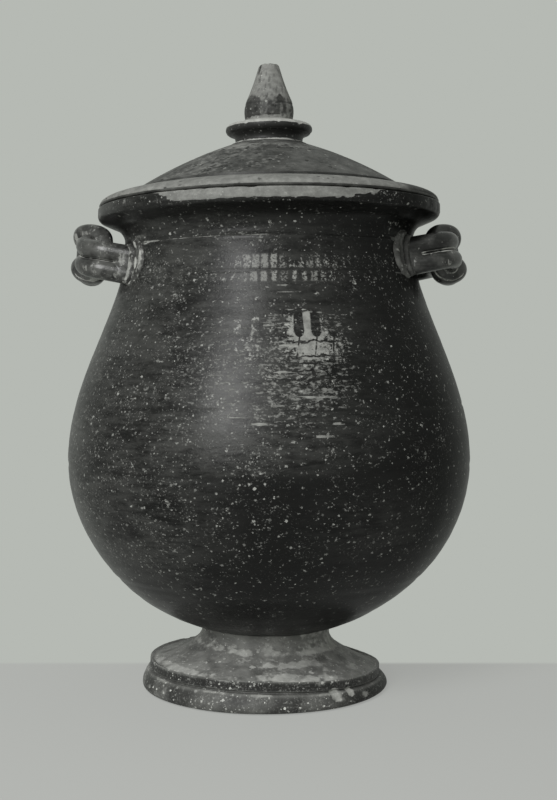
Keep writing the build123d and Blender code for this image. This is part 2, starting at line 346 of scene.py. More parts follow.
@dataclass
class Turning:
    """Surface thrown on the wheel: an outline turned round the axis of the jar."""

    outline: np.ndarray
    around: int
    points: np.ndarray = field(init=False)
    normals: np.ndarray = field(init=False)
    azimuth: np.ndarray = field(init=False)

    def __post_init__(self) -> None:
        """Lay out the rings; azimuth is 0 at the front and grows to the right."""
        turn = (np.arange(self.around) / self.around * 2.0 - 1.0) * math.pi
        radius, height = self.outline[:, 0:1], self.outline[:, 1:2]
        level = np.zeros((1, self.around))
        self.points = np.stack(
            (radius * np.sin(turn), -radius * np.cos(turn), height + level), axis=-1
        )
        if self.closed():
            course = np.roll(self.outline, -1, axis=0) - np.roll(self.outline, 1, axis=0)
        else:
            course = np.gradient(self.outline, axis=0)
        course = course / np.linalg.norm(course, axis=1)[:, None]
        out, up = course[:, 1:2], -course[:, 0:1]
        self.normals = np.stack((out * np.sin(turn), -out * np.cos(turn), up + level), axis=-1)
        self.azimuth = np.repeat(turn[None, :], len(self.outline), axis=0)

    def closed(self) -> bool:
        """Tell if the outline is a ring that never meets the axis."""
        return bool(self.outline[0, 0] > 1e-6)

    def radius(self) -> np.ndarray:
        """Return the outline's radius at every point."""
        return np.repeat(self.outline[:, 0:1], self.around, axis=1)

    def height(self) -> np.ndarray:
        """Return the outline's height at every point."""
        return np.repeat(self.outline[:, 1:2], self.around, axis=1)

    def order(self) -> np.ndarray:
        """Return the place of every point along the outline, as the index of its ring."""
        return np.repeat(np.arange(len(self.outline))[:, None], self.around, axis=1)

    def outside(self) -> np.ndarray:
        """Return 1 for the points on the way up to the top of the outline and 0 for the rest."""
        return (self.order() <= int(np.argmax(self.outline[:, 1]))).astype(float)

    def grain(self, pitch: float, seed: float = 0.0, squash: float = 1.0) -> np.ndarray:
        """Sample noise on the surface; a squash above 1 flattens its lumps, one below 1 draws them out."""
        return grain(self.points * np.array((1.0, 1.0, squash)), pitch, seed)

    def skin(self, relief: np.ndarray, marks: dict[str, np.ndarray], lean: Lean) -> Skin:
        """Raise the surface by a relief and join its rings with faces.

        Args:
            relief: Height of the relief along the normals, in metres, one for each point.
            marks: Painted marks, one value for each point.
            lean: Lean of the finished jar.

        Returns:
            The closed skin.
        """
        ids = np.arange(self.points[..., 0].size).reshape(self.points.shape[:2])
        if not self.closed():
            ids[0, :] = ids[0, 0]
            ids[-1, :] = ids[-1, 0]
        upper = np.roll(ids, -1, axis=0) if self.closed() else ids[1:]
        lower = ids if self.closed() else ids[:-1]
        corners = np.stack(
            (lower, np.roll(lower, -1, axis=1), np.roll(upper, -1, axis=1), upper), axis=-1
        ).reshape(-1, 4)
        used, packed = np.unique(corners, return_inverse=True)
        faces = [tuple(dict.fromkeys(face)) for face in packed.reshape(-1, 4).tolist()]
        raised = self.points + self.normals * relief[..., None]
        settled = lean.settle(raised).reshape(-1, 3)[used]
        kept = {name: values.reshape(-1)[used] for name, values in marks.items()}
        kept["height"] = self.height().reshape(-1)[used]
        return Skin(settled, faces, kept)


@dataclass(frozen=True)
class WheelMarks:
    """Shallow rings and wobble that the potter's fingers leave on a thrown wall."""

    depth: float = 0.00011
    pitch: float = 0.0058
    wobble: float = 0.00022
    wobble_pitch: float = 0.045

    def relief(self, turning: Turning) -> np.ndarray:
        """Return the relief of the marks, never above the true surface.

        Args:
            turning: Surface that takes the marks.

        Returns:
            Height along the normals, in metres, one for each point.
        """
        travel = (turning.height() + 0.7 * turning.radius()) / self.pitch
        drift = np.sin(turning.azimuth), np.cos(turning.azimuth)
        rings = grain(np.stack((0.30 * drift[0], 0.30 * drift[1], travel), axis=-1), 1.0)
        rings += 0.5 * grain(np.stack((0.45 * drift[0], 0.45 * drift[1], 2.7 * travel), axis=-1), 1.0)
        wobble = turning.grain(self.wobble_pitch)
        return self.depth * (rings - 0.9) + self.wobble * (wobble - 0.8)


@dataclass(frozen=True)
class Line:
    """Line cut or dragged into the wall on the wheel."""

    height: float
    width: float
    depth: float
    patchy: float = 0.0

    def cut(self, turning: Turning) -> np.ndarray:
        """Return the share of the line at every point, from 0 beside it to 1 in its middle.

        Args:
            turning: Surface that the line is cut into.

        Returns:
            Share of the line, one for each point.
        """
        share = bell(self.height, self.width, turning.height())
        if self.patchy <= 0.0:
            return share
        stroke = turning.points * np.array((1.0, 1.0, 0.0)) + np.array((0.0, 0.0, self.height))
        return share * smooth(self.patchy - 0.35, self.patchy + 0.05, grain(stroke, 0.05, 3.7) + 0.3)


@dataclass(frozen=True)
class Scrape:
    """Level stroke or spot where the slip is knocked off the wall."""

    turn: float
    height: float
    half_length: float
    half_width: float

    def share(self, turning: Turning) -> np.ndarray:
        """Return how far the slip is gone at every point, from 0 to 1.

        Args:
            turning: Surface that is being painted.

        Returns:
            Share of the slip that is gone, one for each point.
        """
        along = (turning.azimuth - self.turn) * turning.radius() / self.half_length
        across = (turning.height() - self.height) / self.half_width
        return 1.0 - smooth(0.6, 1.15, np.hypot(along, across))


@dataclass(frozen=True)
class Dab:
    """Soft patch of wear on a turned wall."""

    turn: float
    half_turn: float
    height: float
    half_height: float
    strength: float = 1.0

    def share(self, turning: Turning) -> np.ndarray:
        """Return the strength of the wear at every point."""
        across = bell(self.turn, self.half_turn, turning.azimuth)
        return self.strength * across * bell(self.height, self.half_height, turning.height())


class Graph:
    """Adds and joins the shader nodes of one material or of the room."""

    def __init__(self, tree: bpy.types.NodeTree) -> None:
        """Start on an emptied tree."""
        tree.nodes.clear()
        self.tree = tree

    @cached_property
    def place(self) -> Socket:
        """Return the coordinates of the piece, in metres."""
        return self.add("ShaderNodeTexCoord").outputs["Object"]

    def add(self, kind: str, feeds: Feeds | None = None, **settings: object) -> bpy.types.Node:
        """Add a node.

        Args:
            kind: Type of the node.
            feeds: What goes into its sockets, by name or number.
            settings: Plain settings of the node.

        Returns:
            The new node.
        """
        node = self.tree.nodes.new(kind)
        for name, value in settings.items():
            setattr(node, name, value)
        for socket, value in (feeds or {}).items():
            self.feed(node.inputs[socket], value)
        return node

    def feed(self, socket: Socket, value: Feed) -> None:
        """Join a socket to another, or set it to a constant.

        Args:
            socket: Socket that is fed.
            value: Another socket, or a constant.
        """
        if isinstance(value, Socket):
            self.tree.links.new(value, socket)
        else:
            socket.default_value = value

    def math(self, operation: str, first: Feed, second: Feed = 0.0, clamp: bool = False) -> Socket:
        """Work out one sum on two values."""
        node = self.add("ShaderNodeMath", {0: first, 1: second}, operation=operation, use_clamp=clamp)
        return node.outputs[0]

    def total(self, *values: Feed) -> Socket:
        """Add up several values."""
        return reduce(lambda first, second: self.math("ADD", first, second), values)

    def product(self, *values: Feed) -> Socket:
        """Multiply several values."""
        return reduce(lambda first, second: self.math("MULTIPLY", first, second), values)

    def most(self, *values: Feed) -> Socket:
        """Return the largest of several values."""
        return reduce(lambda first, second: self.math("MAXIMUM", first, second), values)

    def less(self, first: Feed, second: Feed, clamp: bool = False) -> Socket:
        """Take the second value from the first."""
        return self.math("SUBTRACT", first, second, clamp)

    def fade(self, value: Feed, low: float, high: float) -> Socket:
        """Rise softly from 0 at low to 1 at high, or fall where high is the smaller.

        Args:
            value: Value that the result follows.
            low: Value that gives 0.
            high: Value that gives 1.

        Returns:
            A socket from 0 to 1.
        """
        span = {"Value": value, "From Min": min(low, high), "From Max": max(low, high)}
        ends = {"To Min": float(low > high), "To Max": float(low < high)}
        return self.add("ShaderNodeMapRange", span | ends, interpolation_type="SMOOTHSTEP").outputs["Result"]

    def scaled(self, pitch: float, squash: float = 1.0, seed: float = 0.0) -> Socket:
        """Return coordinates counted in lumps of the given pitch, flattened in height.

        Args:
            pitch: Size of the lumps, in metres.
            squash: How much flatter than wide they are.
            seed: Offset that gives another pattern.

        Returns:
            A socket with the coordinates.
        """
        scale = (1.0 / pitch, 1.0 / pitch, squash / pitch)
        offset = (seed, seed * 1.7, seed * 0.6)
        feeds = {"Vector": self.place, "Scale": scale, "Location": offset}
        return self.add("ShaderNodeMapping", feeds).outputs["Vector"]

    def noise(self, pitch: float, detail: float = 3.0, squash: float = 1.0, seed: float = 0.0) -> Socket:
        """Return noise from 0 to 1 with lumps of the given pitch."""
        feeds = {"Vector": self.scaled(pitch, squash, seed), "Scale": 1.0, "Detail": detail, "Roughness": 0.6}
        return self.add("ShaderNodeTexNoise", feeds).outputs["Fac"]

    def spots(self, pitch: float, size: float, share: Feed, squash: float = 1.0, seed: float = 0.0) -> Socket:
        """Scatter uneven spots.

        Args:
            pitch: Distance between the places where a spot may be, in metres.
            size: Largest radius of a spot, as a share of the pitch.
            share: Share of the places that have a spot.
            squash: How much flatter than wide the spots are.
            seed: Offset that gives another pattern.

        Returns:
            A socket that is 0 beside the spots and up to 1 in them, some spots being fainter.
        """
        place = self.scaled(pitch, squash, seed)
        ragged = self.add("ShaderNodeTexNoise", {"Vector": place, "Scale": 3.2}).outputs["Color"]
        push = self.add(
            "ShaderNodeVectorMath", {0: ragged, 1: (0.65, 0.65, 0.65), 2: place}, operation="MULTIPLY_ADD"
        )
        cells = self.add("ShaderNodeTexVoronoi", {"Vector": push.outputs[0], "Scale": 1.0}).outputs
        chance = self.add("ShaderNodeSeparateColor", {0: cells["Color"]}).outputs
        radius = self.product(chance[1], chance[1], size)
        inside = self.fade(self.less(radius, cells["Distance"]), -0.05, 0.09)
        strength = self.total(self.product(chance[2], chance[2], 0.75), 0.25)
        return self.product(inside, strength, self.math("LESS_THAN", chance[0], share))

    def mark(self, name: str) -> Socket:
        """Return a painted mark of the piece."""
        return self.add("ShaderNodeAttribute", attribute_name=name).outputs["Fac"]

    def azimuth(self) -> Socket:
        """Return the angle round the axis, 0 at the front and growing to the right."""
        parts = self.add("ShaderNodeSeparateXYZ", {0: self.place}).outputs
        return self.math("ARCTAN2", parts[0], self.product(parts[1], -1.0))

    def mix(self, share: Feed, first: Feed, second: Feed) -> Socket:
        """Mix two colours."""
        return self.add("ShaderNodeMix", {0: share, 6: first, 7: second}, data_type="RGBA").outputs[2]

    def seen(self) -> Socket:
        """Return 1 for the rays that bring a surface to the eye, straight or by gloss or glass."""
        path = self.add("ShaderNodeLightPath").outputs
        return self.most(path["Is Camera Ray"], path["Is Glossy Ray"], path["Is Transmission Ray"])

    def surface(self, colour: Feed, roughness: Feed, bump: Feed, depth: float, specular: Feed) -> None:
        """Close the material with a ceramic surface.

        Args:
            colour: Base colour.
            roughness: Roughness.
            bump: Height of the fine relief, from 0 to 1.
            depth: Depth of that relief, in metres.
            specular: Specular level.
        """
        relief = self.add("ShaderNodeBump", {"Distance": depth, "Height": bump}).outputs["Normal"]
        looks = {"Base Color": colour, "Roughness": roughness, "Specular IOR Level": specular}
        shader = self.add("ShaderNodeBsdfPrincipled", looks | {"Normal": relief}).outputs["BSDF"]
        self.add("ShaderNodeOutputMaterial", {"Surface": shader})


def blank(name: str) -> tuple[bpy.types.Material, Graph]:
    """Start an empty material.

    Args:
        name: Name of the material.

    Returns:
        The material and the graph of its nodes.
    """
    material = bpy.data.materials.new(name)
    material.use_nodes = True
    return material, Graph(material.node_tree)


@dataclass(frozen=True)
class SlipFinish:
    """Black gloss slip over pale clay, clouded, scuffed in streaks and flecked.

    The marks painted on a piece steer it: rub lets streaks of clay through, bare takes the
    slip off, fleck scatters pale flecks, dark darkens towards a near-black tone, as grime and as
    painted shade in creases, grooves and under overhangs, and dull takes the sheen off.
    """

    name: str
    sound: float = 0.004
    faded: float = 0.040
    clay: float = 0.30
    chalk: float = 0.40
    grime_and_shade: float = 0.008
    cloud_pitch: float = 0.030
    cloud_low: float = 0.38
    cloud_high: float = 0.72
    streak_pitch: float = 0.0070
    streak_squash: float = 5.5
    fleck_pitch: float = 0.0024
    fleck_size: float = 0.43
    large_share: float = 0.28
    gloss: float = 0.32
    matt: float = 0.62
    pore_pitch: float = 0.0011
    depth: float = 0.00022
    specular: float = 0.16

    def ground(self, graph: Graph) -> Socket:
        """Return the clouded colour of the slip itself.

        Args:
            graph: Material that is being built.

        Returns:
            A socket with the colour.
        """
        cloud = graph.fade(graph.noise(self.cloud_pitch, 4.0), self.cloud_low, self.cloud_high)
        veil = graph.fade(graph.noise(self.cloud_pitch * 0.4, 4.0, 3.0, 5.2), 0.45, 0.75)
        share = graph.math("ADD", graph.product(cloud, 0.75), graph.product(veil, 0.35), clamp=True)
        return graph.mix(share, grey(self.sound), grey(self.faded))

    def scuffs(self, graph: Graph) -> Socket:
        """Return the share of clay that shows in rubbed streaks.

        Args:
            graph: Material that is being built.

        Returns:
            A socket from 0 to 1.
        """
        long = graph.noise(self.streak_pitch, 5.0, self.streak_squash, 1.3)
        short = graph.noise(self.streak_pitch * 0.30, 4.0, self.streak_squash * 0.33, 8.1)
        worn = graph.product(graph.less(graph.mark("rub"), 1.0), 0.26)
        streaks = graph.total(graph.product(long, 0.42), graph.product(short, 0.58))
        return graph.fade(graph.total(streaks, worn), 0.51, 0.61)

    def bareness(self, graph: Graph) -> Socket:
        """Return the share of clay where the slip is gone.

        Args:
            graph: Material that is being built.

        Returns:
            A socket from 0 to 1.
        """
        ragged = graph.total(
            graph.product(graph.noise(0.006, 5.0, 1.6, 2.4), 0.55),
            graph.product(graph.noise(0.0016, 3.0, 1.3, 6.6), 0.25),
        )
        return graph.fade(graph.total(ragged, graph.less(graph.mark("bare"), 0.9)), -0.06, 0.10)

    def flecks(self, graph: Graph) -> Socket:
        """Return the share of pale flecks, small ones with a few larger.

        Args:
            graph: Material that is being built.

        Returns:
            A socket from 0 to 1.
        """
        gathered = graph.fade(graph.noise(0.020, 4.0, 1.2, 4.7), 0.32, 0.64)
        share = graph.product(graph.mark("fleck"), graph.total(graph.product(gathered, 1.05), 0.18))
        small = graph.spots(self.fleck_pitch, self.fleck_size, share, 1.15, 0.7)
        tiny = graph.spots(self.fleck_pitch * 0.6, self.fleck_size, graph.product(share, 1.05), 1.1, 4.2)
        few = graph.product(share, self.large_share)
        large = graph.spots(self.fleck_pitch * 2.5, self.fleck_size * 0.75, few, 1.7, 9.4)
        drift = graph.fade(graph.noise(0.020, 3.0, 1.3, 2.9), 0.40, 0.62)
        dust = graph.product(graph.fade(graph.noise(0.0011, 2.0, 1.2, 6.1), 0.58, 0.72), drift, share, 0.6)
        return graph.most(small, tiny, large, dust)

    def extra(self, graph: Graph, colour: Socket) -> Socket:
        """Return the colour with what only this finish has."""
        return colour

    def material(self) -> bpy.types.Material:
        """Build the material.

        Returns:
            The new material.
        """
        material, graph = blank(self.name)
        pores = graph.noise(self.pore_pitch, 2.0)
        scuffs, bare, flecks = self.scuffs(graph), self.bareness(graph), self.flecks(graph)
        tooth = graph.fade(graph.noise(0.0045, 4.0, 1.5, 3.3), 0.30, 0.75)
        clay = graph.mix(tooth, grey(self.clay * 0.62), grey(self.clay))
        colour = graph.mix(graph.product(scuffs, 0.62), self.ground(graph), clay)
        colour = self.extra(graph, graph.mix(bare, colour, clay))
        # The dark mark mixes in the near-black tone: grime, and painted shade in creases, grooves and under
        # overhangs.
        dark = graph.product(graph.mark("dark"), graph.fade(pores, 0.15, 0.5))
        colour = graph.mix(dark, colour, grey(self.grime_and_shade))
        colour = graph.mix(graph.product(flecks, 0.85), colour, grey(self.chalk))
        worn = graph.most(bare, graph.product(scuffs, 0.7), flecks)
        uneven = graph.product(graph.less(graph.noise(0.012, 3.0, 1.0, 7.7), 0.5), 0.12)
        roughness = graph.total(graph.product(worn, self.matt - self.gloss), self.gloss, uneven)
        bump = graph.total(graph.product(pores, 0.35), graph.product(worn, -0.30), 0.5)
        sheen = graph.less(1.0, graph.product(graph.mark("dull"), 0.75))
        graph.surface(colour, roughness, bump, self.depth, graph.product(sheen, self.specular))
        return material


@dataclass(frozen=True)
class BodyFinish(SlipFinish):
    """Slip of the jar with a tongue band, a dot band and a row of pendants round the shoulder."""

    gloss: float = 0.35
    specular: float = 0.21
    fleck_size: float = 0.36
    large_share: float = 0.18
    motif_clay: float = 0.26
    tongues: int = 114
    tongue_low: float = 0.2142
    tongue_high: float = 0.2207
    dots: int = 104
    dot_low: float = 0.2079
    dot_high: float = 0.2126
    pendants: int = 68
    pendant_top: float = 0.1940
    pendant_low: float = 0.1812
    pendant_turn: float = 0.157
    pendant_radius: float = 0.0885
    pendant_half_w: float = 0.0026
    pendant_full: float = 0.28
    bars: tuple[float, ...] = (0.1793, 0.1726, 0.1690)

    def ground(self, graph: Graph) -> Socket:
        """Return the colour of the slip, hazed in level brush strokes; the same mark pales the lit left side
        and the place of the highlight as painted light.

        Args:
            graph: Material that is being built.

        Returns:
            A socket with the colour.
        """
        level = graph.total(
            graph.product(graph.noise(0.034, 4.0, 1.6), 0.40),
            graph.product(graph.noise(0.012, 5.0, 4.5, 5.2), 0.42),
            graph.product(graph.noise(0.0026, 3.0, 3.0, 2.2), 0.18),
        )
        share = graph.product(graph.fade(level, 0.38, 0.62), graph.mark("haze_and_painted_light"))
        return graph.mix(share, grey(self.sound), grey(self.faded))

    def row(self, graph: Graph, count: int, gap: float, low: float, high: float) -> Socket:
        """Return a hand-drawn band of pale fields parted by dark strokes.

        Args:
            graph: Material that is being built.
            count: Number of fields round the jar.
            gap: Share of the pitch that a dark stroke takes at most.
            low: Lower edge of the band.
            high: Upper edge of the band.

        Returns:
            A socket that is up to 1 in the pale fields.
        """
        sway = graph.total(
            graph.product(graph.less(graph.noise(0.0060, 2.0, 1.0, 3.1), 0.5), 0.34),
            graph.product(graph.less(graph.noise(0.0009, 2.0, 1.0, 7.4), 0.5), 0.34),
        )
        turn = graph.total(graph.product(graph.azimuth(), count / (2.0 * math.pi)), sway)
        off = graph.math("ABSOLUTE", graph.less(graph.math("FRACT", turn), 0.5))
        chance = graph.add("ShaderNodeTexWhiteNoise", {"W": graph.math("FLOOR", turn)}, noise_dimensions="1D")
        uneven = chance.outputs["Value"]
        half = graph.total(graph.product(uneven, gap * 0.25), gap * 0.28)
        pale = graph.fade(graph.less(graph.less(0.5, half), off), -0.07, 0.07)
        rise = graph.total(graph.mark("height"), graph.product(sway, 0.0020))
        soft = 0.0006
        above, below = graph.fade(rise, low - soft, low + soft), graph.fade(rise, high + soft, high - soft)
        return graph.product(pale, above, below, graph.total(graph.product(uneven, 0.45), 0.55))

    def drops(self, graph: Graph) -> Socket:
        """Return the dark drops of the pendant row, a fine line below each and level bars across.

        Args:
            graph: Material that is being built.

        Returns:
            A socket that is 1 in the dark paint.
        """
        per_turn = self.pendants / (2.0 * math.pi)
        turn = graph.product(graph.less(graph.azimuth(), self.pendant_turn), per_turn)
        place = graph.less(graph.math("FRACT", graph.total(turn, 0.5)), 0.5)
        along = graph.product(place, self.pendant_radius / per_turn)
        rise = graph.less(graph.mark("height"), self.pendant_low)
        share = graph.product(rise, 1.0 / (self.pendant_top - self.pendant_low))
        low = graph.less(1.0, graph.math("MULTIPLY", share, 1.0 / self.pendant_full, clamp=True))
        bowl = graph.math("SQRT", graph.less(1.0, graph.product(low, low), clamp=True))
        high = graph.less(share, self.pendant_full, clamp=True)
        neck = graph.less(1.0, graph.product(high, 0.12 / (1.0 - self.pendant_full)))
        half_w = graph.product(bowl, neck, graph.fade(share, 1.05, 0.98), self.pendant_half_w)
        drop = graph.fade(graph.less(half_w, graph.math("ABSOLUTE", along)), -0.0002, 0.0004)
        slant = graph.less(along, graph.product(rise, 0.18))
        string = graph.fade(graph.math("ABSOLUTE", slant), 0.00056, 0.00022)
        broken = graph.fade(graph.noise(0.0030, 3.0, 0.6, 8.3), 0.36, 0.54)
        dark = graph.most(drop, graph.product(string, broken, graph.fade(rise, 0.0010, 0.0)))
        sway = graph.product(graph.less(graph.noise(0.006, 2.0, 1.0, 4.4), 0.5), 0.005)
        level = graph.total(graph.mark("height"), sway)
        for bar in self.bars:
            away = graph.math("ABSOLUTE", graph.less(level, bar))
            dark = graph.most(dark, graph.fade(away, 0.00060, 0.00028))
        return dark

    def extra(self, graph: Graph, colour: Socket) -> Socket:
        """Return the colour with the bands and the pendants, as far as they have survived.

        Args:
            graph: Material that is being built.
            colour: Colour of the worn slip.

        Returns:
            A socket with the colour.
        """
        broken = graph.total(
            graph.product(graph.noise(0.0034, 4.0, 1.4, 5.9), 1.2),
            graph.product(graph.noise(0.0012, 3.0, 1.2, 1.8), 0.9),
            -0.55,
        )
        chipped = graph.total(
            graph.product(graph.noise(0.0110, 3.0, 1.0, 3.7), 0.8),
            graph.product(graph.noise(0.0010, 2.0, 1.0, 1.8), 1.6),
            -0.74,
        )
        kept = graph.fade(graph.total(chipped, graph.product(graph.mark("motif"), 0.30)), 0.56, 0.90)
        bands = graph.most(
            self.row(graph, self.tongues, 0.42, self.tongue_low, self.tongue_high),
            self.row(graph, self.dots, 0.60, self.dot_low, self.dot_high),
        )
        colour = graph.mix(graph.product(bands, kept), colour, grey(self.motif_clay))
        patch = graph.fade(graph.total(broken, graph.product(graph.mark("patch"), 0.52)), 0.66, 0.88)
        drops = self.drops(graph)
        painted = graph.product(drops, graph.fade(graph.mark("patch"), 0.15, 0.50), 0.85)
        colour = graph.mix(painted, colour, grey(self.sound * 2.0))
        pale = graph.product(patch, graph.less(1.0, drops))
        stain = graph.fade(graph.noise(0.004, 4.0, 1.8, 7.0), 0.32, 0.62)
        ground = graph.mix(stain, grey(self.motif_clay * 0.75), grey(self.motif_clay * 1.15))
        return graph.mix(graph.product(pale, 0.94), colour, ground)


@dataclass(frozen=True)
class PittedFinish(SlipFinish):
    """Slip of the lid, pitted where the mark named pit asks for it."""

    pit_pitch: float = 0.0023
    pit_size: float = 0.80

    def extra(self, graph: Graph, colour: Socket) -> Socket:
        """Return the colour with the pits darkened, as grime and painted shade in them."""
        pits = graph.spots(self.pit_pitch, self.pit_size, graph.mark("pit"), 2.0, 3.8)
        return graph.mix(graph.math("MULTIPLY", pits, 1.5, clamp=True), colour, grey(self.grime_and_shade))


@dataclass
class JarBody:
    """Bowl, shoulder, neck and mouth rim of the jar."""

    foot_h: float = 0.0264
    bowl_depth: float = 0.0936
    belly_r: float = 0.1054
    shoulder_h: float = 0.1100
    belly_ease: float = 0.0427
    neck_ease: float = 0.0308
    neck_r: float = 0.0761
    wall: float = 0.0055
    collar_h: float = 0.0033
    rim_r: float = 0.0901
    rim_edge: float = 0.0044
    rim_swell: float = 0.0034
    rim_slope: float = math.radians(23.0)
    rim_cove: float = 0.0080
    rim_round: float = 0.0010
    chip_depth: float = 0.0004
    around: int = 240
    quarter: float = 0.5523
    lines: tuple[Line, ...] = (
        Line(0.2302, 0.00050, 0.00045),
        Line(0.2133, 0.00060, 0.00035),
        Line(0.1480, 0.00080, 0.00030, 0.20),
        Line(0.1177, 0.00090, 0.00040, 0.10),
        Line(0.0590, 0.00120, 0.00030, 0.35),
    )
    scrapes: tuple[Scrape, ...] = (
        Scrape(0.112, 0.1941, 0.0038, 0.0007),
        Scrape(0.193, 0.1940, 0.0026, 0.0006),
        Scrape(0.276, 0.1928, 0.0026, 0.0009),
        Scrape(0.075, 0.2057, 0.0055, 0.0006),
        Scrape(0.100, 0.2024, 0.0065, 0.0006),
        Scrape(-0.005, 0.1868, 0.0045, 0.0008),
        Scrape(0.080, 0.1774, 0.0045, 0.0009),
        Scrape(0.076, 0.1653, 0.0080, 0.0008),
        Scrape(0.230, 0.1541, 0.0150, 0.0009),
        Scrape(-0.142, 0.1449, 0.0080, 0.0008),
        Scrape(-0.042, 0.1419, 0.0060, 0.0013),
        Scrape(0.313, 0.1418, 0.0045, 0.0011),
        Scrape(0.248, 0.1363, 0.0068, 0.0011),
    )

    def __post_init__(self) -> None:
        """Work out the heights that follow from the sizes."""
        lean_sin, lean_cos = math.sin(self.rim_slope), math.cos(self.rim_slope)
        self.belly_z = self.foot_h + self.bowl_depth
        self.neck_z = self.belly_z + self.shoulder_h
        self.cove_r = self.neck_r + self.rim_cove * (1.0 - lean_sin)
        self.cove_z = self.neck_z + self.collar_h + self.rim_cove * lean_cos
        self.swell_r = self.rim_r - self.rim_swell * (1.0 - lean_sin)
        self.swell_z = self.cove_z + (self.swell_r - self.cove_r) * math.tan(self.rim_slope)
        self.edge_z = self.swell_z + self.rim_swell * lean_cos
        self.mouth_z = self.edge_z + self.rim_edge

    def outline(self) -> Outline:
        """Draw the jar from under the bowl up to the mouth and down inside.

        Returns:
            The outline, closed on the axis.
        """
        slope = (math.cos(self.rim_slope), math.sin(self.rim_slope))
        line = Outline(0.0, self.foot_h)
        self.side(line)
        line.line(self.neck_r, self.neck_z + self.collar_h, 0.0006)
        line.arc((self.cove_r, self.cove_z), (0.0, 1.0), 0.0008)
        line.line(self.swell_r, self.swell_z, 0.0008)
        line.arc((self.rim_r, self.edge_z), slope, 0.0005)
        line.line(self.rim_r, self.mouth_z - self.rim_round, 0.0006)
        line.arc((self.rim_r - self.rim_round, self.mouth_z), (0.0, 1.0), 0.0003)
        bore = self.neck_r - self.wall
        line.line(bore + self.rim_round, self.mouth_z, 0.004)
        line.arc((bore, self.mouth_z - self.rim_round), (-1.0, 0.0), 0.0004)
        line.line(bore, self.neck_z, 0.004)
        wide, deep = self.belly_r - self.wall, self.bowl_depth - self.wall
        line.curve(
            (bore, self.neck_z - self.neck_ease),
            (wide, self.belly_z + self.belly_ease),
            (wide, self.belly_z),
            0.006,
        )
        line.curve(
            (wide, self.belly_z - deep * self.quarter),
            (wide * self.quarter, self.belly_z - deep),
            (0.0, self.belly_z - deep),
            0.007,
        )
        return line

    def side(self, line: Outline) -> None:
        """Draw the bowl and the shoulder upward.

        Args:
            line: Outline that is being drawn.
        """
        wide = self.belly_r
        line.curve(
            (wide * self.quarter, self.foot_h),
            (wide, self.belly_z - self.bowl_depth * self.quarter),
            (wide, self.belly_z),
            0.0017,
        )
        line.curve(
            (wide, self.belly_z + self.belly_ease),
            (self.neck_r, self.neck_z - self.neck_ease),
            (self.neck_r, self.neck_z),
            0.0007,
        )

    def radius_at(self, height: np.ndarray) -> np.ndarray:
        """Return the outer radius of the shoulder, neck and underside of the rim at a height.

        Args:
            height: Heights above the belly, in metres.

        Returns:
            Radius at each height.
        """
        rings = self.outline().rings()
        top = int(np.argmax(rings[:, 1]))
        outer = rings[: top + 1]
        low = int(np.argmax(outer[:, 0] > self.belly_r - 1e-6))
        return np.interp(height, outer[low:, 1], outer[low:, 0])

    def rim(self, turning: Turning) -> np.ndarray:
        """Return the share of the mouth rim at every point."""
        return smooth(self.swell_z - 0.001, self.edge_z, turning.height()) * turning.outside()

    def speckled(self, turning: Turning) -> np.ndarray:
        """Return the share of the speckled stretch at the right of the rim."""
        return self.rim(turning) * bell(0.66, 0.20, turning.azimuth)

    def back(self, turning: Turning) -> np.ndarray:
        """Return the share of the jar's back."""
        return smooth(1.5, 2.3, np.abs(turning.azimuth))

    def blotch(self, turning: Turning) -> np.ndarray:
        """Return the broad blotches that break up the wear."""
        return turning.grain(0.05, 6.3)

    def rub(self, turning: Turning) -> np.ndarray:
        """Paint the rubbed shoulder and neck.

        Args:
            turning: Surface that is being painted.

        Returns:
            Value of the mark, one for each point.
        """
        azimuth, height = turning.azimuth, turning.height()
        back = self.back(turning) * smooth(-0.1, 0.4, self.blotch(turning))
        sides = 0.95 * bell(0.19, 0.32, azimuth) + 0.82 * bell(-0.38, 0.42, azimuth) + 0.95 * back
        rub = sides * band(0.122, 0.150, 0.189, 0.201, height)
        neck = band(0.195, 0.207, 0.226, 0.236, height)
        rub += neck * (0.40 + 0.30 * (1.0 - rightward(-0.3, 0.5, azimuth)))
        return rub + 0.28 * bell(0.40, 0.12, azimuth) * band(0.140, 0.160, 0.194, 0.204, height)

    def haze_and_painted_light(self, turning: Turning) -> np.ndarray:
        """Paint a grey veil on the slip, partly real and partly painted light: it pales the lit left side,
        reaching further round above the middle line, and the place of the highlight.

        Args:
            turning: Surface that is being painted.

        Returns:
            Value of the mark, one for each point.
        """
        azimuth, height = turning.azimuth, turning.height()
        upper = 0.45 * smooth(0.112, 0.134, height) + 0.55 * smooth(0.1176, 0.1190, height)
        end = 0.50 - 0.58 * (1.0 - upper)
        start = end - 0.42 - 0.06 * upper
        # Painted light: the side that faces the window is paled.
        lit = 1.0 - limit((azimuth - start) / (end + 0.20 * upper - start))
        haze_and_painted_light = 0.06 + 0.94 * lit * smooth(-2.4, -1.6, azimuth) + 0.5 * self.back(turning)
        haze_and_painted_light += Dab(-0.20, 0.30, 0.135, 0.012, 0.75).share(turning)
        haze_and_painted_light *= 0.35 + 0.65 * smooth(0.050, 0.095, height)
        haze_and_painted_light += Dab(0.55, 0.30, 0.093, 0.016, 0.40).share(turning)
        haze_and_painted_light += Dab(-0.20, 0.40, 0.0580, 0.0014, 0.30).share(turning)
        return haze_and_painted_light * (1.0 - 0.50 * smooth(0.2300, 0.2350, height) * rightward(-0.30, 0.0, azimuth))

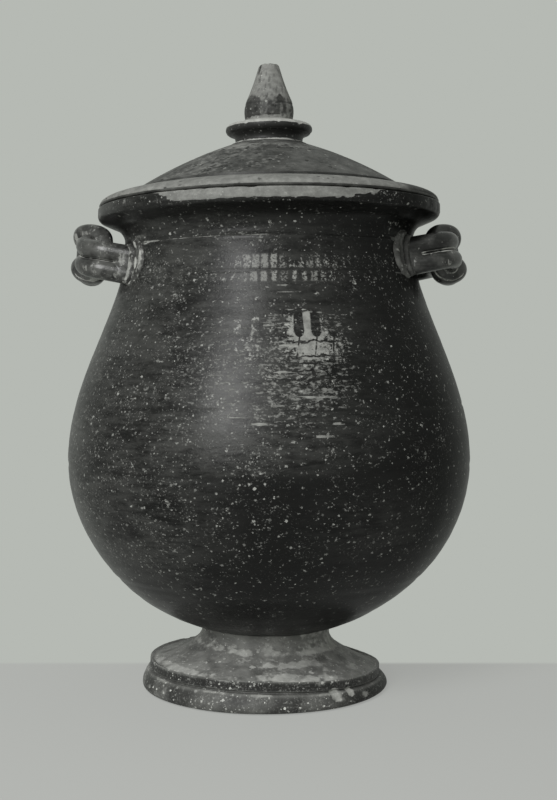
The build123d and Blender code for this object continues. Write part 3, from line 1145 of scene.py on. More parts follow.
    def bare(self, turning: Turning, cuts: list[np.ndarray]) -> np.ndarray:
        """Paint the bare face of the rim, the neck lines, a smear at the left handle and the scrapes.

        Args:
            turning: Surface that is being painted.
            cuts: Share of each cut line, from the top down.

        Returns:
            Value of the mark, one for each point.
        """
        azimuth, outside = turning.azimuth, turning.outside()
        ends = smooth(0.32, 0.84, azimuth) + smooth(0.46, 0.76, -azimuth)
        ends *= 1.0 - self.back(turning) * smooth(-0.2, 0.2, self.blotch(turning))
        ragged = (0.0008 + 0.0024 * rightward(0.25, 0.55, azimuth)) * turning.grain(0.0028, 9.0)
        above = turning.height() + ragged - self.swell_z - 0.0021 - 0.0075 * ends
        bare = 0.92 * outside * smooth(-0.0005, 0.0006, above)
        bare += self.rim(turning) * (0.10 + 0.30 * smooth(0.1, 0.4, turning.grain(0.007, 3.9)))
        bare += self.speckled(turning) * (0.26 + 0.40 * turning.grain(0.0022, 4.9))
        scratch = turning.grain(0.012, 5.0, 0.0)
        shown = 0.52 + 0.16 * bell(-0.55, 0.40, azimuth) - 0.04 * rightward(0.0, 0.4, azimuth)
        bare += cuts[0] * (shown + 0.20 * scratch) + cuts[1] * (0.42 + 0.26 * scratch)
        smear = Dab(-0.90, 0.09, 0.227, 0.016).share(turning) * outside
        bare += smear * (0.36 + 0.40 * turning.grain(0.0040, 2.6))
        for scrape in self.scrapes:
            bare += 0.60 * scrape.share(turning) * outside
        return bare

    def fleck(self, turning: Turning) -> np.ndarray:
        """Scatter the flecks, thickest at the left and thin above the foot.

        Args:
            turning: Surface that is being painted.

        Returns:
            Value of the mark, one for each point.
        """
        azimuth, height = turning.azimuth, turning.height()
        fleck = 0.24 + 0.36 * (1.0 - smooth(-0.20, 0.60, azimuth)) * smooth(-2.2, -1.5, azimuth)
        fleck += Dab(-0.85, 0.40, 0.100, 0.03, 0.14).share(turning)
        fleck *= 1.0 - 0.45 * bell(-0.05, 0.34, azimuth) * (1.0 - smooth(0.114, 0.124, height))
        fleck *= smooth(0.050, 0.088, height) * (1.0 - 0.40 * smooth(0.205, 0.215, height)) + 0.12
        return fleck + 0.35 * self.speckled(turning) + Dab(0.37, 0.07, 0.187, 0.009, 0.40).share(turning)

    def motif(self, turning: Turning) -> np.ndarray:
        """Tell how well the painted bands have lasted round the neck.

        Args:
            turning: Surface that is being painted.

        Returns:
            Value of the mark, one for each point.
        """
        azimuth = turning.azimuth
        motif = 1.10 * bell(-0.06, 0.13, azimuth) + 0.90 * bell(0.24, 0.20, azimuth)
        motif *= 1.0 - 0.75 * smooth(0.2155, 0.2200, turning.height()) * rightward(0.02, 0.16, azimuth)
        return motif + 0.8 * bell(2.2, 0.4, azimuth) + 0.7 * bell(-2.0, 0.4, azimuth)

    def patch(self, turning: Turning) -> np.ndarray:
        """Lay the pale ground that is left behind the pendants.

        Args:
            turning: Surface that is being painted.

        Returns:
            Value of the mark, one for each point.
        """
        azimuth, height = turning.azimuth, turning.height()
        off = np.abs(azimuth - 0.209) * turning.radius() / 0.0046
        stalk = (1.0 - smooth(0.8, 1.15, off)) * band(0.176, 0.183, 0.1925, 0.1940, height)
        skirt = band(0.135, 0.160, 0.34, 0.39, azimuth) * (1.0 - 0.40 * smooth(0.250, 0.270, azimuth))
        skirt *= smooth(0.162, 0.176, height + 0.006 * self.blotch(turning))
        skirt *= 1.0 - smooth(0.181, 0.188, height)
        flank = band(0.080, 0.110, 0.33, 0.39, azimuth) * (1.0 - 0.55 * smooth(0.255, 0.275, azimuth))
        flank *= band(0.170, 0.178, 0.1905, 0.1930, height)
        row = bell(-0.08, 0.13, azimuth) * band(0.170, 0.177, 0.189, 0.193, height)
        return np.maximum.reduce((stalk, skirt, 0.60 * flank, 0.34 * row))

    def build(self, lean: Lean) -> bpy.types.Object:
        """Throw the jar, cut its lines, chip its rim, paint its wear and shade and dress it.

        Args:
            lean: Lean of the finished jar.

        Returns:
            The dressed piece.
        """
        turning = Turning(self.outline().rings(), self.around)
        outside, rim = turning.outside(), self.rim(turning)
        cuts = [line.cut(turning) * outside for line in self.lines]
        relief = WheelMarks().relief(turning) * outside
        for line, cut in zip(self.lines, cuts):
            relief -= line.depth * cut
        relief -= self.chip_depth * rim * smooth(0.30, 0.55, turning.grain(0.0055, 1.9))
        # Painted shade: the neck under the overhanging rim and the three lower cut lines are darkened; the
        # rim itself is darkened a little too.
        under = smooth(self.cove_z - 0.004, self.cove_z + 0.002, turning.height()) * (1.0 - rim)
        dark = outside * (0.85 * under + 0.24 * rim) + 0.85 * limit(sum(cuts[2:]))
        marks = {
            "rub": limit(self.rub(turning), 1.2) * outside,
            "bare": limit(self.bare(turning, cuts)),
            "fleck": limit(self.fleck(turning)) * outside,
            "haze_and_painted_light": limit(self.haze_and_painted_light(turning), 1.7) * outside,
            "dull": rightward(0.35, 0.95, turning.azimuth) * outside,
            "motif": self.motif(turning) * outside,
            "patch": self.patch(turning) * outside,
            "dark": limit(dark),
        }
        finish = BodyFinish("body_slip").material()
        return turning.skin(relief, marks, lean).piece("jar", "vessel", "jar_body", "body_slip", finish)


@dataclass
class Foot:
    """Spreading foot with two mouldings, hollow underneath."""

    stem_r: float = 0.0338
    stem_h: float = 0.0290
    torus_r: float = 0.0647
    torus_h: float = 0.0084
    torus_ledge: float = 0.0010
    swell: float = 0.0014
    rest_out_r: float = 0.0608
    rest_in_r: float = 0.0545
    fascia_r: float = 0.0606
    fascia_h: float = 0.0046
    groove: float = 0.0009
    lip_w: float = 0.0026
    lip_h: float = 0.0007
    flare_low: float = 0.0086
    flare_slope: float = 0.42
    flare_high: float = 0.0076
    hollow_r: float = 0.0240
    hollow_shoulder: float = 0.0180
    top_z: float = 0.0330
    around: int = 300
    front_rise: float = 0.0020
    rear_drop: float = 0.0018
    chips: tuple[Scrape, ...] = (Scrape(0.605, 0.0072, 0.0032, 0.0034), Scrape(0.755, 0.0078, 0.0022, 0.0026))

    def outline(self) -> Outline:
        """Draw the foot from its resting ring up the outside and down the hollow.

        Returns:
            The outline, a ring that never meets the axis.
        """
        band_z = self.torus_h + self.groove
        lip_z = band_z + self.fascia_h
        dish_r, dish_z = self.fascia_r - self.lip_w, lip_z - self.lip_h
        line = Outline(self.rest_in_r, 0.0)
        line.line(self.rest_out_r, 0.0, 0.002)
        line.curve(
            (self.torus_r + self.swell, 0.0002),
            (self.torus_r + self.swell / 2.0, self.torus_h * 0.43),
            (self.fascia_r + self.torus_ledge, self.torus_h),
            0.0005,
        )
        line.line(self.fascia_r - self.groove, self.torus_h + self.groove / 2.0, 0.0004)
        line.line(self.fascia_r, band_z, 0.0004)
        line.line(self.fascia_r, dish_z, 0.0005)
        line.arc((self.fascia_r - self.lip_h, lip_z), (0.0, 1.0), 0.0003)
        line.line(dish_r, dish_z, 0.0004)
        line.curve(
            (dish_r - self.flare_low, dish_z + self.flare_low * self.flare_slope),
            (self.stem_r, self.stem_h - self.flare_high),
            (self.stem_r, self.stem_h),
            0.0007,
        )
        line.line(self.stem_r, self.top_z, 0.001)
        line.line(self.hollow_r, self.top_z - 0.0025, 0.003)
        line.line(self.hollow_r, self.hollow_shoulder, 0.004)
        line.line(self.rest_in_r, 0.0, 0.004)
        line.points.pop()
        line.spacing.pop()
        return line

    def build(self, lean: Lean) -> bpy.types.Object:
        """Throw the foot, warp its plate, chip its mouldings, paint its wear and shade and dress it.

        Args:
            lean: Lean of the finished jar.

        Returns:
            The dressed piece.
        """
        turning = Turning(self.outline().rings(), self.around)
        azimuth, height, radius = turning.azimuth, turning.height(), turning.radius()
        outside = turning.outside()
        warp = self.front_rise * bell(0.0, 0.75, azimuth) - self.rear_drop * bell(2.15, 0.45, azimuth)
        warp *= outside * smooth(0.040, 0.058, radius)
        band_z = self.torus_h + self.groove
        lip_z = band_z + self.fascia_h
        turning.points[..., 2] += warp * height / lip_z
        fascia = outside * smooth(band_z - 0.0004, band_z + 0.0004, height)
        fascia *= radius > self.fascia_r - 0.0012
        torus = outside * (1.0 - smooth(self.torus_h - 0.0002, band_z, height))
        lip = outside * bell(lip_z, 0.0008, height) * (radius > self.fascia_r - self.lip_w)
        flare = outside * (radius < self.fascia_r - self.lip_w * 0.7)
        groove = outside * bell(self.torus_h + self.groove / 2.0, 0.0005, height)
        ledge = torus * bell(self.torus_h, 0.0009, height)
        coarse, fine = turning.grain(0.010, 2.2), turning.grain(0.0028, 7.5)
        knocks = smooth(0.42, 0.62, turning.grain(0.0060, 5.1)) * (fascia + 0.8 * torus + lip)
        chips = sum(scrape.share(turning) for scrape in self.chips) * outside
        chips = smooth(0.25, 0.65, chips * (1.0 + 0.6 * turning.grain(0.0024, 6.1)))
        relief = WheelMarks(depth=0.00006, pitch=0.0041).relief(turning) * outside
        relief -= (0.00055 * knocks + 0.00045 * chips) * smooth(0.0, 0.002, height)
        relief += 0.00010 * outside * fine * smooth(0.001, 0.003, height)

        crust = smooth(-0.05, 0.40, turning.grain(0.013, 8.2) + 0.25 * bell(-0.9, 0.6, azimuth))
        smudge = smooth(0.22, 0.50, turning.grain(0.009, 4.6, 2.0))
        puddles = bell(0.0555, 0.0042, radius) + 0.8 * bell(0.0430, 0.0030, radius)
        spill = bell(0.28, 0.34, azimuth) * puddles + 0.5 * bell(0.0365, 0.0016, radius)
        spill += 0.9 * bell(-0.95, 0.45, azimuth) * bell(0.0560, 0.0030, radius)
        # Painted light: the torus is kept paler and more flecked on the left, where the window lights it,
        # than on the right; the groove above the torus is darkened as painted shade.
        shade = 1.0 - 0.8 * rightward(0.1, 0.7, azimuth)
        bare = flare * (0.30 + 0.16 * (coarse + fine) + 0.55 * spill + 0.12 * rightward(0.3, 0.9, azimuth))
        bare += 0.42 * lip + torus * (0.10 + 0.26 * crust) + 0.30 * ledge + chips
        dark = fascia * (0.92 - 0.7 * lip) + 0.3 * groove + 0.42 * flare * smudge
        dark += torus * (1.08 - 0.30 * crust - 0.24 * shade) * (1.0 - 0.6 * ledge)
        marks = {
            "rub": limit(flare * (0.90 + 0.4 * coarse) + 0.35 * torus, 1.1),
            "bare": limit(bare),
            "fleck": limit(0.54 * fascia + torus * (0.26 + 0.50 * crust) * shade + 0.24 * flare),
            "dark": limit(dark) * (1.0 - smooth(0.2, 0.6, knocks)) * (1.0 - 0.78 * chips),
        }
        finish = SlipFinish(
            "foot_slip", sound=0.150, faded=0.30, clay=0.52, chalk=0.74, grime_and_shade=0.010, cloud_pitch=0.011,
            streak_pitch=0.008, streak_squash=4.0, fleck_pitch=0.0019, fleck_size=0.48, large_share=0.55,
            gloss=0.52, matt=0.74, depth=0.00035, specular=0.22,
        ).material()
        return turning.skin(relief, marks, lean).piece("foot_turned", "vessel", "foot", "foot_slip", finish)


@dataclass
class Lid:
    """Domed lid with a rounded edge and a flange that drops into the mouth."""

    mouth_z: float
    mouth_bore: float
    rim_r: float
    rim_inset: float = 0.0009
    lid_edge: float = 0.0014
    lid_nose: float = 0.0038
    dome_r: float = 0.0702
    dome_foot_h: float = 0.0095
    crown_r: float = 0.0205
    dome_rise: float = 0.0237
    dome_swell: float = 0.0016
    dome_wall: float = 0.0055
    dome_groove: float = 0.0007
    rim_lap: float = 0.0014
    flange_gap: float = 0.0015
    flange_t: float = 0.0045
    flange_depth: float = 0.0110
    around: int = 240

    def __post_init__(self) -> None:
        """Work out the radius of the lid from the rim that it lies on."""
        self.lid_r = self.rim_r - self.rim_inset

    def crown_z(self) -> float:
        """Return the height of the flat crown under the knob."""
        return self.mouth_z + self.dome_foot_h + self.dome_rise

    def outline(self) -> Outline:
        """Draw the lid from under its crown, round the flange and edge, and up the dome.

        Returns:
            The outline, closed on the axis.
        """
        dome_z, crown_z = self.mouth_z + self.dome_foot_h, self.crown_z()
        run = self.dome_r - self.crown_r
        chord = math.hypot(run, self.dome_rise)
        out_r, out_z = self.dome_rise / chord, run / chord
        middle = ((self.dome_r + self.crown_r) / 2.0, dome_z + self.dome_rise / 2.0)
        swell = self.dome_swell
        bulge = (middle[0] + out_r * swell, middle[1] + out_z * swell)
        hollow = swell - self.dome_wall
        inside = (middle[0] + out_r * hollow, middle[1] + out_z * hollow)
        flange_out = self.mouth_bore - self.flange_gap
        flange_in = flange_out - self.flange_t
        flange_z, tip = self.mouth_z - self.flange_depth, self.flange_t / 2.0
        ceiling_z = crown_z - self.dome_wall
        edge_z = self.mouth_z + self.lid_edge
        lap_r, lap_z = self.dome_r + self.rim_lap, dome_z - self.rim_lap

        line = Outline(0.0, ceiling_z)
        line.line(self.crown_r - 0.002, ceiling_z, 0.006)
        line.through(inside, (flange_in, dome_z - 0.0028), 0.004)
        line.line(flange_in, flange_z + tip, 0.004)
        line.arc((flange_in + tip, flange_z), (0.0, -1.0), 0.0006)
        line.arc((flange_out, flange_z + tip), (1.0, 0.0), 0.0006)
        line.line(flange_out, self.mouth_z, 0.003)
        line.line(self.lid_r - self.lid_edge, self.mouth_z, 0.003)
        line.arc((self.lid_r, edge_z), (1.0, 0.0), 0.0003)
        line.curve(
            (self.lid_r, edge_z + self.lid_nose),
            ((lap_r + self.lid_r) / 2.0, lap_z - self.rim_lap),
            (lap_r, lap_z),
            0.0005,
        )
        line.line(self.dome_r + self.dome_groove, lap_z - self.dome_groove, 0.0003)
        line.line(self.dome_r, dome_z, 0.0003)
        line.through(bulge, (self.crown_r, crown_z), 0.0007)
        line.line(0.0, crown_z, 0.004)
        return line

    def build(self, lean: Lean) -> bpy.types.Object:
        """Throw the lid, pit its dome, paint its wear and shade and dress it.

        Args:
            lean: Lean of the finished jar.

        Returns:
            The dressed piece.
        """
        turning = Turning(self.outline().rings(), self.around)
        azimuth, radius = turning.azimuth, turning.radius()
        tip = int(np.argmax(turning.outline[:, 0]))
        outside = (turning.order() >= tip).astype(float)
        dome = outside * (radius < self.dome_r)
        edge = outside * smooth(self.dome_r + 0.0004, self.dome_r + 0.0016, radius)
        ring = dome * (bell(0.0400, 0.0006, radius) + 0.7 * bell(0.0425, 0.0006, radius))
        seam = outside * bell(self.dome_r + self.dome_groove, 0.0008, radius)
        coarse, fine = turning.grain(0.016, 4.4), turning.grain(0.0030, 1.1)
        worn = dome * limit(bell(-0.55, 0.75, azimuth) + 0.7 * bell(2.6, 0.9, np.abs(azimuth)))
        pits = worn * smooth(0.10, 0.40, fine) * smooth(0.026, 0.034, radius)
        nicks = edge * smooth(0.45, 0.65, turning.grain(0.0048, 8.8))
        relief = WheelMarks(depth=0.00007, pitch=0.0048).relief(turning) * outside
        relief -= 0.00028 * pits + 0.00025 * ring + 0.00040 * nicks

        # Painted shade: the right of the edge is kept darker and less bared and the right of the dome less
        # rubbed, where they turn from the window; the seam groove at the dome's foot, the turned rings and
        # the pits are darkened, the seam more towards the right.
        face = limit(1.0 - rightward(0.70, 0.98, azimuth) + 0.15 * smooth(-0.1, 0.3, coarse))
        dull = rightward(0.70, 1.05, azimuth)
        crown = bell(0.0330, 0.0075, radius)
        rings = bell(0.0300, 0.0006, radius) + bell(0.0365, 0.0007, radius)
        rub = 0.56 + 0.60 * worn + 0.5 * coarse + 0.45 * crown - 0.22 * rightward(0.1, 0.7, azimuth)
        bare = 0.36 * worn * smooth(-0.3, 0.3, coarse) + 0.24 * crown + 0.30 * rings + 0.10 * coarse
        dark = seam * (0.35 + 0.60 * rightward(-0.5, 0.3, azimuth)) + 0.60 * pits + 0.35 * ring
        pitted = worn * (0.62 + 0.5 * coarse) * smooth(0.028, 0.036, radius)
        marks = {
            "rub": limit(dome * rub, 1.2),
            "bare": limit(edge * (0.30 + 0.62 * face) + dome * bare),
            "fleck": limit(0.34 * dome + 0.15 * edge),
            "dark": limit(dark + 0.55 * edge * dull),
            "dull": dull * outside,
            "pit": limit(pitted + 0.10 * edge),
        }
        finish = PittedFinish(
            "lid_slip", sound=0.030, faded=0.118, clay=0.25, chalk=0.34, grime_and_shade=0.012, cloud_pitch=0.013,
            cloud_low=0.36, streak_pitch=0.008, streak_squash=3.0, gloss=0.50, matt=0.68, depth=0.00030,
            specular=0.24,
        ).material()
        return turning.skin(relief, marks, lean).piece("lid_turned", "lid", "lid_dome", "lid_slip", finish)


@dataclass
class Knob:
    """Reel-shaped knob with a tapered finial, standing on the crown of the lid."""

    crown_z: float
    crown_r: float
    reel_h: float = 0.0129
    reel_r: float = 0.0229
    waist_r: float = 0.0178
    waist_h: float = 0.0022
    under_r: float = 0.0210
    under_h: float = 0.0056
    edge_h: float = 0.0084
    top_r: float = 0.0208
    top_h: float = 0.0108
    finial_r: float = 0.0124
    finial_h: float = 0.0300
    bulb_r: float = 0.0131
    bulb_h: float = 0.0058
    neck_r: float = 0.0120
    neck_h: float = 0.0109
    mid_r: float = 0.0088
    mid_h: float = 0.0187
    tip_r: float = 0.0057
    tip_drop: float = 0.0015
    flat_r: float = 0.0044
    around: int = 144

    def reel_outline(self) -> Outline:
        """Draw the reel from the crown of the lid up to the foot of the finial.

        Returns:
            The outline, closed on the axis.
        """
        z = self.crown_z
        line = Outline(0.0, z)
        line.line(self.crown_r, z, 0.004)
        line.curve(
            (self.waist_r + 0.0008, z + 0.0003),
            (self.waist_r, z + self.waist_h * 0.5),
            (self.waist_r, z + self.waist_h),
            0.0004,
        )
        line.arc((self.under_r, z + self.under_h), (0.0, 1.0), 0.0004)
        line.through((self.reel_r, z + self.edge_h), (self.top_r, z + self.top_h), 0.0004)
        line.line(self.finial_r, z + self.reel_h, 0.0006)
        line.line(0.0, z + self.reel_h, 0.004)
        return line

    def finial_outline(self) -> Outline:
        """Draw the finial from its foot to its blunt tip.

        Returns:
            The outline, closed on the axis.
        """
        z = self.crown_z + self.reel_h
        tip_z = z + self.finial_h - self.tip_drop
        line = Outline(0.0, z)
        line.line(self.finial_r, z, 0.004)
        line.through((self.bulb_r, z + self.bulb_h), (self.neck_r, z + self.neck_h), 0.0005)
        line.through((self.mid_r, z + self.mid_h), (self.tip_r, tip_z), 0.0005)
        line.curve(
            (self.tip_r - 0.0003, tip_z + self.tip_drop * 0.55),
            (self.flat_r + 0.0006, z + self.finial_h),
            (self.flat_r, z + self.finial_h),
            0.0003,
        )
        line.line(0.0, z + self.finial_h, 0.0015)
        return line

    def build_reel(self, lean: Lean) -> bpy.types.Object:
        """Throw the reel, chip its edge, paint its wear and shade and dress it.

        Args:
            lean: Lean of the finished jar.

        Returns:
            The dressed piece.
        """
        turning = Turning(self.reel_outline().rings(), self.around)
        height, radius = turning.height() - self.crown_z, turning.radius()
        edge = smooth(self.under_r - 0.0005, self.reel_r - 0.0004, radius)
        foot = 1.0 - smooth(0.0006, 0.0032, height)
        top = smooth(self.edge_h - 0.0002, self.edge_h + 0.0014, height)
        chips = edge * smooth(0.30, 0.52, turning.grain(0.0042, 3.3))
        relief = -0.00045 * chips + 0.00007 * (turning.grain(0.0035, 6.0) - 0.6)
        relief *= smooth(self.waist_r - 0.004, self.waist_r, radius)
        coarse = turning.grain(0.009, 2.8)
        marks = {
            "rub": limit(0.75 * foot + 0.85 * top + 0.3 * coarse, 1.1),
            "bare": limit(0.60 * foot + 0.92 * top + 0.3 * top * coarse + 0.50 * chips),
            "fleck": limit(0.34 + 0.5 * top),
            # Painted shade under the reel's overhanging edge.
            "dark": limit(0.5 * bell(self.under_h - 0.001, 0.0016, height)),
        }
        finish = SlipFinish(
            "reel_slip", sound=0.016, faded=0.046, clay=0.46, chalk=0.36, fleck_pitch=0.0020, gloss=0.44,
            specular=0.20,
        ).material()
        return turning.skin(relief, marks, lean).piece("reel_turned", "lid", "lid_reel", "reel_slip", finish)

    def build_finial(self, lean: Lean) -> bpy.types.Object:
        """Throw the finial, pare its sides, paint its streaks and shade and dress it.

        Args:
            lean: Lean of the finished jar.

        Returns:
            The dressed piece.
        """
        turning = Turning(self.finial_outline().rings(), self.around)
        azimuth, radius = turning.azimuth, turning.radius()
        height = turning.height() - self.crown_z - self.reel_h
        outside = smooth(0.0, 0.0008, height) * (radius > self.flat_r * 0.5)
        pared = np.sin(7.0 * azimuth + 0.8 * np.sin(3.0 * azimuth)) * smooth(0.010, 0.016, height)
        groove = bell(self.neck_h - 0.0025, 0.0005, height)
        pits = smooth(0.28, 0.50, turning.grain(0.0024, 2.0)) * (1.0 - smooth(0.010, 0.014, height))
        relief = outside * (0.00010 * (pared - 1.0) - 0.00022 * groove - 0.00025 * pits)
        relief -= 0.0001 * smooth(self.finial_h - 0.004, self.finial_h - 0.001, height)
        streaky, thin = turning.grain(0.0024, 5.5, 0.14), turning.grain(0.0012, 2.2, 0.10)
        low = 1.0 - smooth(0.009, 0.015, height)
        left = bell(-0.9, 0.7, azimuth)
        bare = limit(0.84 + 0.40 * streaky - 0.36 * low - 0.18 * left)
        # Painted shade in the groove and the pits; the foot of the finial is darker as well.
        dark = 0.55 * groove + 0.6 * pits + 0.30 * low * smooth(0.002, 0.004, height)
        dark += 0.4 * smooth(0.2, 0.6, -streaky) + 0.4 * smooth(0.1, 0.5, thin)
        marks = {
            "rub": limit(0.8 - 0.5 * low),
            "bare": bare + 0.5 * (1.0 - smooth(0.0006, 0.0018, height)),
            "fleck": np.full(radius.shape, 0.35),
            "dark": limit(dark, 0.9),
        }
        finish = SlipFinish(
            "finial_clay", sound=0.030, faded=0.090, clay=0.266, chalk=0.42, grime_and_shade=0.016, cloud_pitch=0.006,
            fleck_pitch=0.0019, gloss=0.52, matt=0.72, depth=0.00028, specular=0.22,
        ).material()
        skin = turning.skin(relief, marks, lean)
        return skin.piece("finial_turned", "lid", "lid_finial", "finial_clay", finish)


@dataclass
class KnotHandle:
    """Handle of two looped and doubled clay rolls, locked in a reef knot, with its root plates."""

    jar: JarBody
    side: Side
    drop: float = 0.0078
    tilt: float = math.radians(10.5)
    spread: float = 0.0300
    reach: float = 0.0240
    roll_r: float = 0.0049
    root_roll_r: float = 0.0053
    strand: float = 0.0047
    climb: float = 0.0033
    front_outs: tuple[float, float, float] = (0.0002, -0.0035, 0.0046)
    rear_outs: tuple[float, float, float] = (-0.0040, 0.0050, -0.0074)
    twist: float = 0.0120
    loop_end: float = 0.0145
    arm_bend: float = 0.0120
    sunk: float = 0.0080
    plate_t: float = 0.0012
    plate_half_w: float = 0.0115
    plate_top: float = 0.0130
    plate_drop: float = 0.0115
    plate_shift: float = 0.0055
    bead_t: float = 0.0012
    bead_out: float = 0.0024
    groove_w: float = 0.0016
    groove_floor: float = 0.0003
    left_sag: float = -0.0034
    right_sag: float = 0.0010
    left_lean: float = 0.110
    lean_z: float = 0.2190
    left_plump: float = 1.05
    step: float = 0.0005
    sides: int = 80
    own_reach: float = 0.022
    plate_margin: float = 0.0012
    plate_step: float = 0.00045
    plate_back: float = 0.0016

    def sag(self, points: np.ndarray) -> np.ndarray:
        """Let the front of the handle hang lower or higher and its top lean out, as luted on by eye.

        Args:
            points: Points in the jar's frame.

        Returns:
            The moved points.
        """
        moved = points.copy()
        forward = smooth(0.008, 0.030, -points[..., 1])
        if self.side is Side.RIGHT:
            moved[..., 2] += self.right_sag * forward
            return moved
        moved[..., 2] += self.left_sag * forward
        beyond = smooth(self.jar.neck_r + 0.002, self.jar.neck_r + 0.016, -points[..., 0])
        moved[..., 0] -= self.left_lean * beyond * (points[..., 2] - self.lean_z)
        return moved

    def axes(self) -> np.ndarray:
        """Return the handle's own axes, outward, along and up, in the jar's frame."""
        cos, sin = math.cos(self.tilt), math.sin(self.tilt)
        return np.array(((cos, 0.0, sin), (0.0, 1.0, 0.0), (-sin, 0.0, cos)))

    def root(self) -> np.ndarray:
        """Return the middle between the roots, where they meet the neck on the right-hand side."""
        out = math.sqrt(self.jar.neck_r**2 - self.spread**2)
        return np.array((out, 0.0, self.jar.neck_z - self.drop))

    def mirror(self) -> np.ndarray:
        """Return the factors that bring points of the right-hand side to the handle's side."""
        return np.array((float(self.side.value), 1.0, 1.0))

    def to_jar(self, points: np.ndarray) -> np.ndarray:
        """Bring points from the handle's own frame to the jar's."""
        return (self.root() + points @ self.axes()) * self.mirror()

    def to_handle(self, points: np.ndarray) -> np.ndarray:
        """Bring points of the right-hand side from the jar's frame to the handle's own."""
        return (points - self.root()) @ self.axes().T

    def stations(self, loop: Loop) -> list[tuple[np.ndarray, np.ndarray]]:
        """Return points and directions along the upper roll of a loop.

        Args:
            loop: Which of the two loops.

        Returns:
            Pairs of a point and the direction there.
        """
        arm, middle, end = self.front_outs if loop is Loop.FRONT else self.rear_outs
        onward = -loop.value
        arm_x, arm_y = self.reach + arm, loop.value * self.spread
        half, swing = self.twist / 2.0, math.pi / 2.0 / self.twist
        return [
            (np.array((arm_x - self.arm_bend, arm_y, self.strand)), np.array((1.0, 0.0, 0.0))),
            (np.array((arm_x, arm_y + onward * self.arm_bend, self.strand)), np.array((0.0, onward, 0.0))),
            (
                np.array((self.reach + (arm + middle) / 2.0, -onward * half, self.strand)),
                np.array(((middle - arm) * swing, onward, 0.0)),
            ),
            (
                np.array((self.reach + middle, 0.0, self.strand + self.climb)),
                np.array((0.0, onward, 2.0 * self.climb * swing)),
            ),
            (
                np.array((self.reach + (middle + end) / 2.0, onward * half, self.strand + 2.0 * self.climb)),
                np.array(((end - middle) * swing, onward, 0.0)),
            ),
            (np.array((self.reach + end, onward * self.loop_end, 0.0)), np.array((0.0, 0.0, -1.0))),
        ]

    def course(self, loop: Loop) -> np.ndarray:
        """Return the middle line of a loop, from its upper root round the bend to its lower root.

        Args:
            loop: Which of the two loops.

        Returns:
            Array of points along the roll.
        """
        stations = self.stations(loop)
        start = stations[0][0]
        sunk = start * np.array((0.0, 1.0, 1.0)) - np.array((self.sunk, 0.0, 0.0))
        runs = [sample_arc(sunk, start - sunk, start, self.step)]
        for (here, leave), (there, arrive) in zip(stations, stations[1:]):
            ahead, onto = leave / np.linalg.norm(leave), arrive / np.linalg.norm(arrive)
            span = there - here
            turn, along = 2.0 * (1.0 - ahead @ onto), 2.0 * span @ (ahead + onto)
            if turn < 1e-9:
                pull = span @ span / along
            else:
                pull = (math.sqrt(along**2 + 4.0 * turn * (span @ span)) - along) / (2.0 * turn)
            near, far = here + ahead * pull, there - onto * pull
            middle = (near + far) / 2.0
            runs.append(sample_arc(here, ahead, middle, self.step)[1:])
            runs.append(sample_arc(middle, far - near, there, self.step)[1:])
        upper = np.concatenate(runs)
        lower = (upper * np.array((1.0, 1.0, -1.0)))[-2::-1]
        return np.concatenate((upper, lower))

    def girth(self, loop: Loop, course: np.ndarray) -> np.ndarray:
        """Return the radius of the roll along its middle line, a little uneven as rolled by hand.

        Args:
            loop: Which of the two loops.
            course: Points along the roll.

        Returns:
            Radius at each of them.
        """
        arm_x = self.stations(loop)[0][0][0]
        root = limit((arm_x - course[:, 0]) / (arm_x + 0.011))
        straight = np.abs(course[:, 1] - loop.value * self.spread) < 1e-6
        even = self.roll_r + (self.root_roll_r - self.roll_r) * root * straight
        seed = 3.0 * self.side.value + loop.value
        plump = self.left_plump if self.side is Side.LEFT and loop is Loop.FRONT else 1.0
        return even * plump * (0.985 + 0.03 * grain(course, 0.011, seed))

    def loop_skin(self, loop: Loop, lean: Lean) -> Skin:
        """Roll out one loop and paint its creases.

        Args:
            loop: Which of the two loops.
            lean: Lean of the finished jar.

        Returns:
            The closed skin of the loop.
        """
        course = self.course(loop)
        girth = self.girth(loop, course)
        ahead = np.gradient(course, axis=0)
        ahead /= np.linalg.norm(ahead, axis=1)[:, None]
        across = np.zeros_like(course)
        across[0] = (0.0, 0.0, 1.0)
        for i in range(1, len(course)):
            kept = across[i - 1] - ahead[i] * (across[i - 1] @ ahead[i])
            across[i] = kept / np.linalg.norm(kept)
        third = np.cross(ahead, across)
        turn = (np.arange(self.sides) / self.sides * 2.0 * math.pi)[None, :, None]
        ring = across[:, None, :] * np.cos(turn) + third[:, None, :] * np.sin(turn)
        tube = course[:, None, :] + girth[:, None, None] * ring

        arm_y = loop.value * self.spread
        straight = (np.abs(course[:, 1] - arm_y) < 1e-6)[:, None]
        fill = (1.0 - smooth(0.004, 0.0135, tube[..., 0])) * straight * 0.98
        aside = tube[..., 1] - arm_y
        full = np.sign(aside) * girth[:, None] * fill
        between = (np.abs(tube[..., 2]) < self.strand) & (np.abs(aside) < np.abs(full))
        tube[..., 1] = np.where(between, arm_y + full, tube[..., 1])

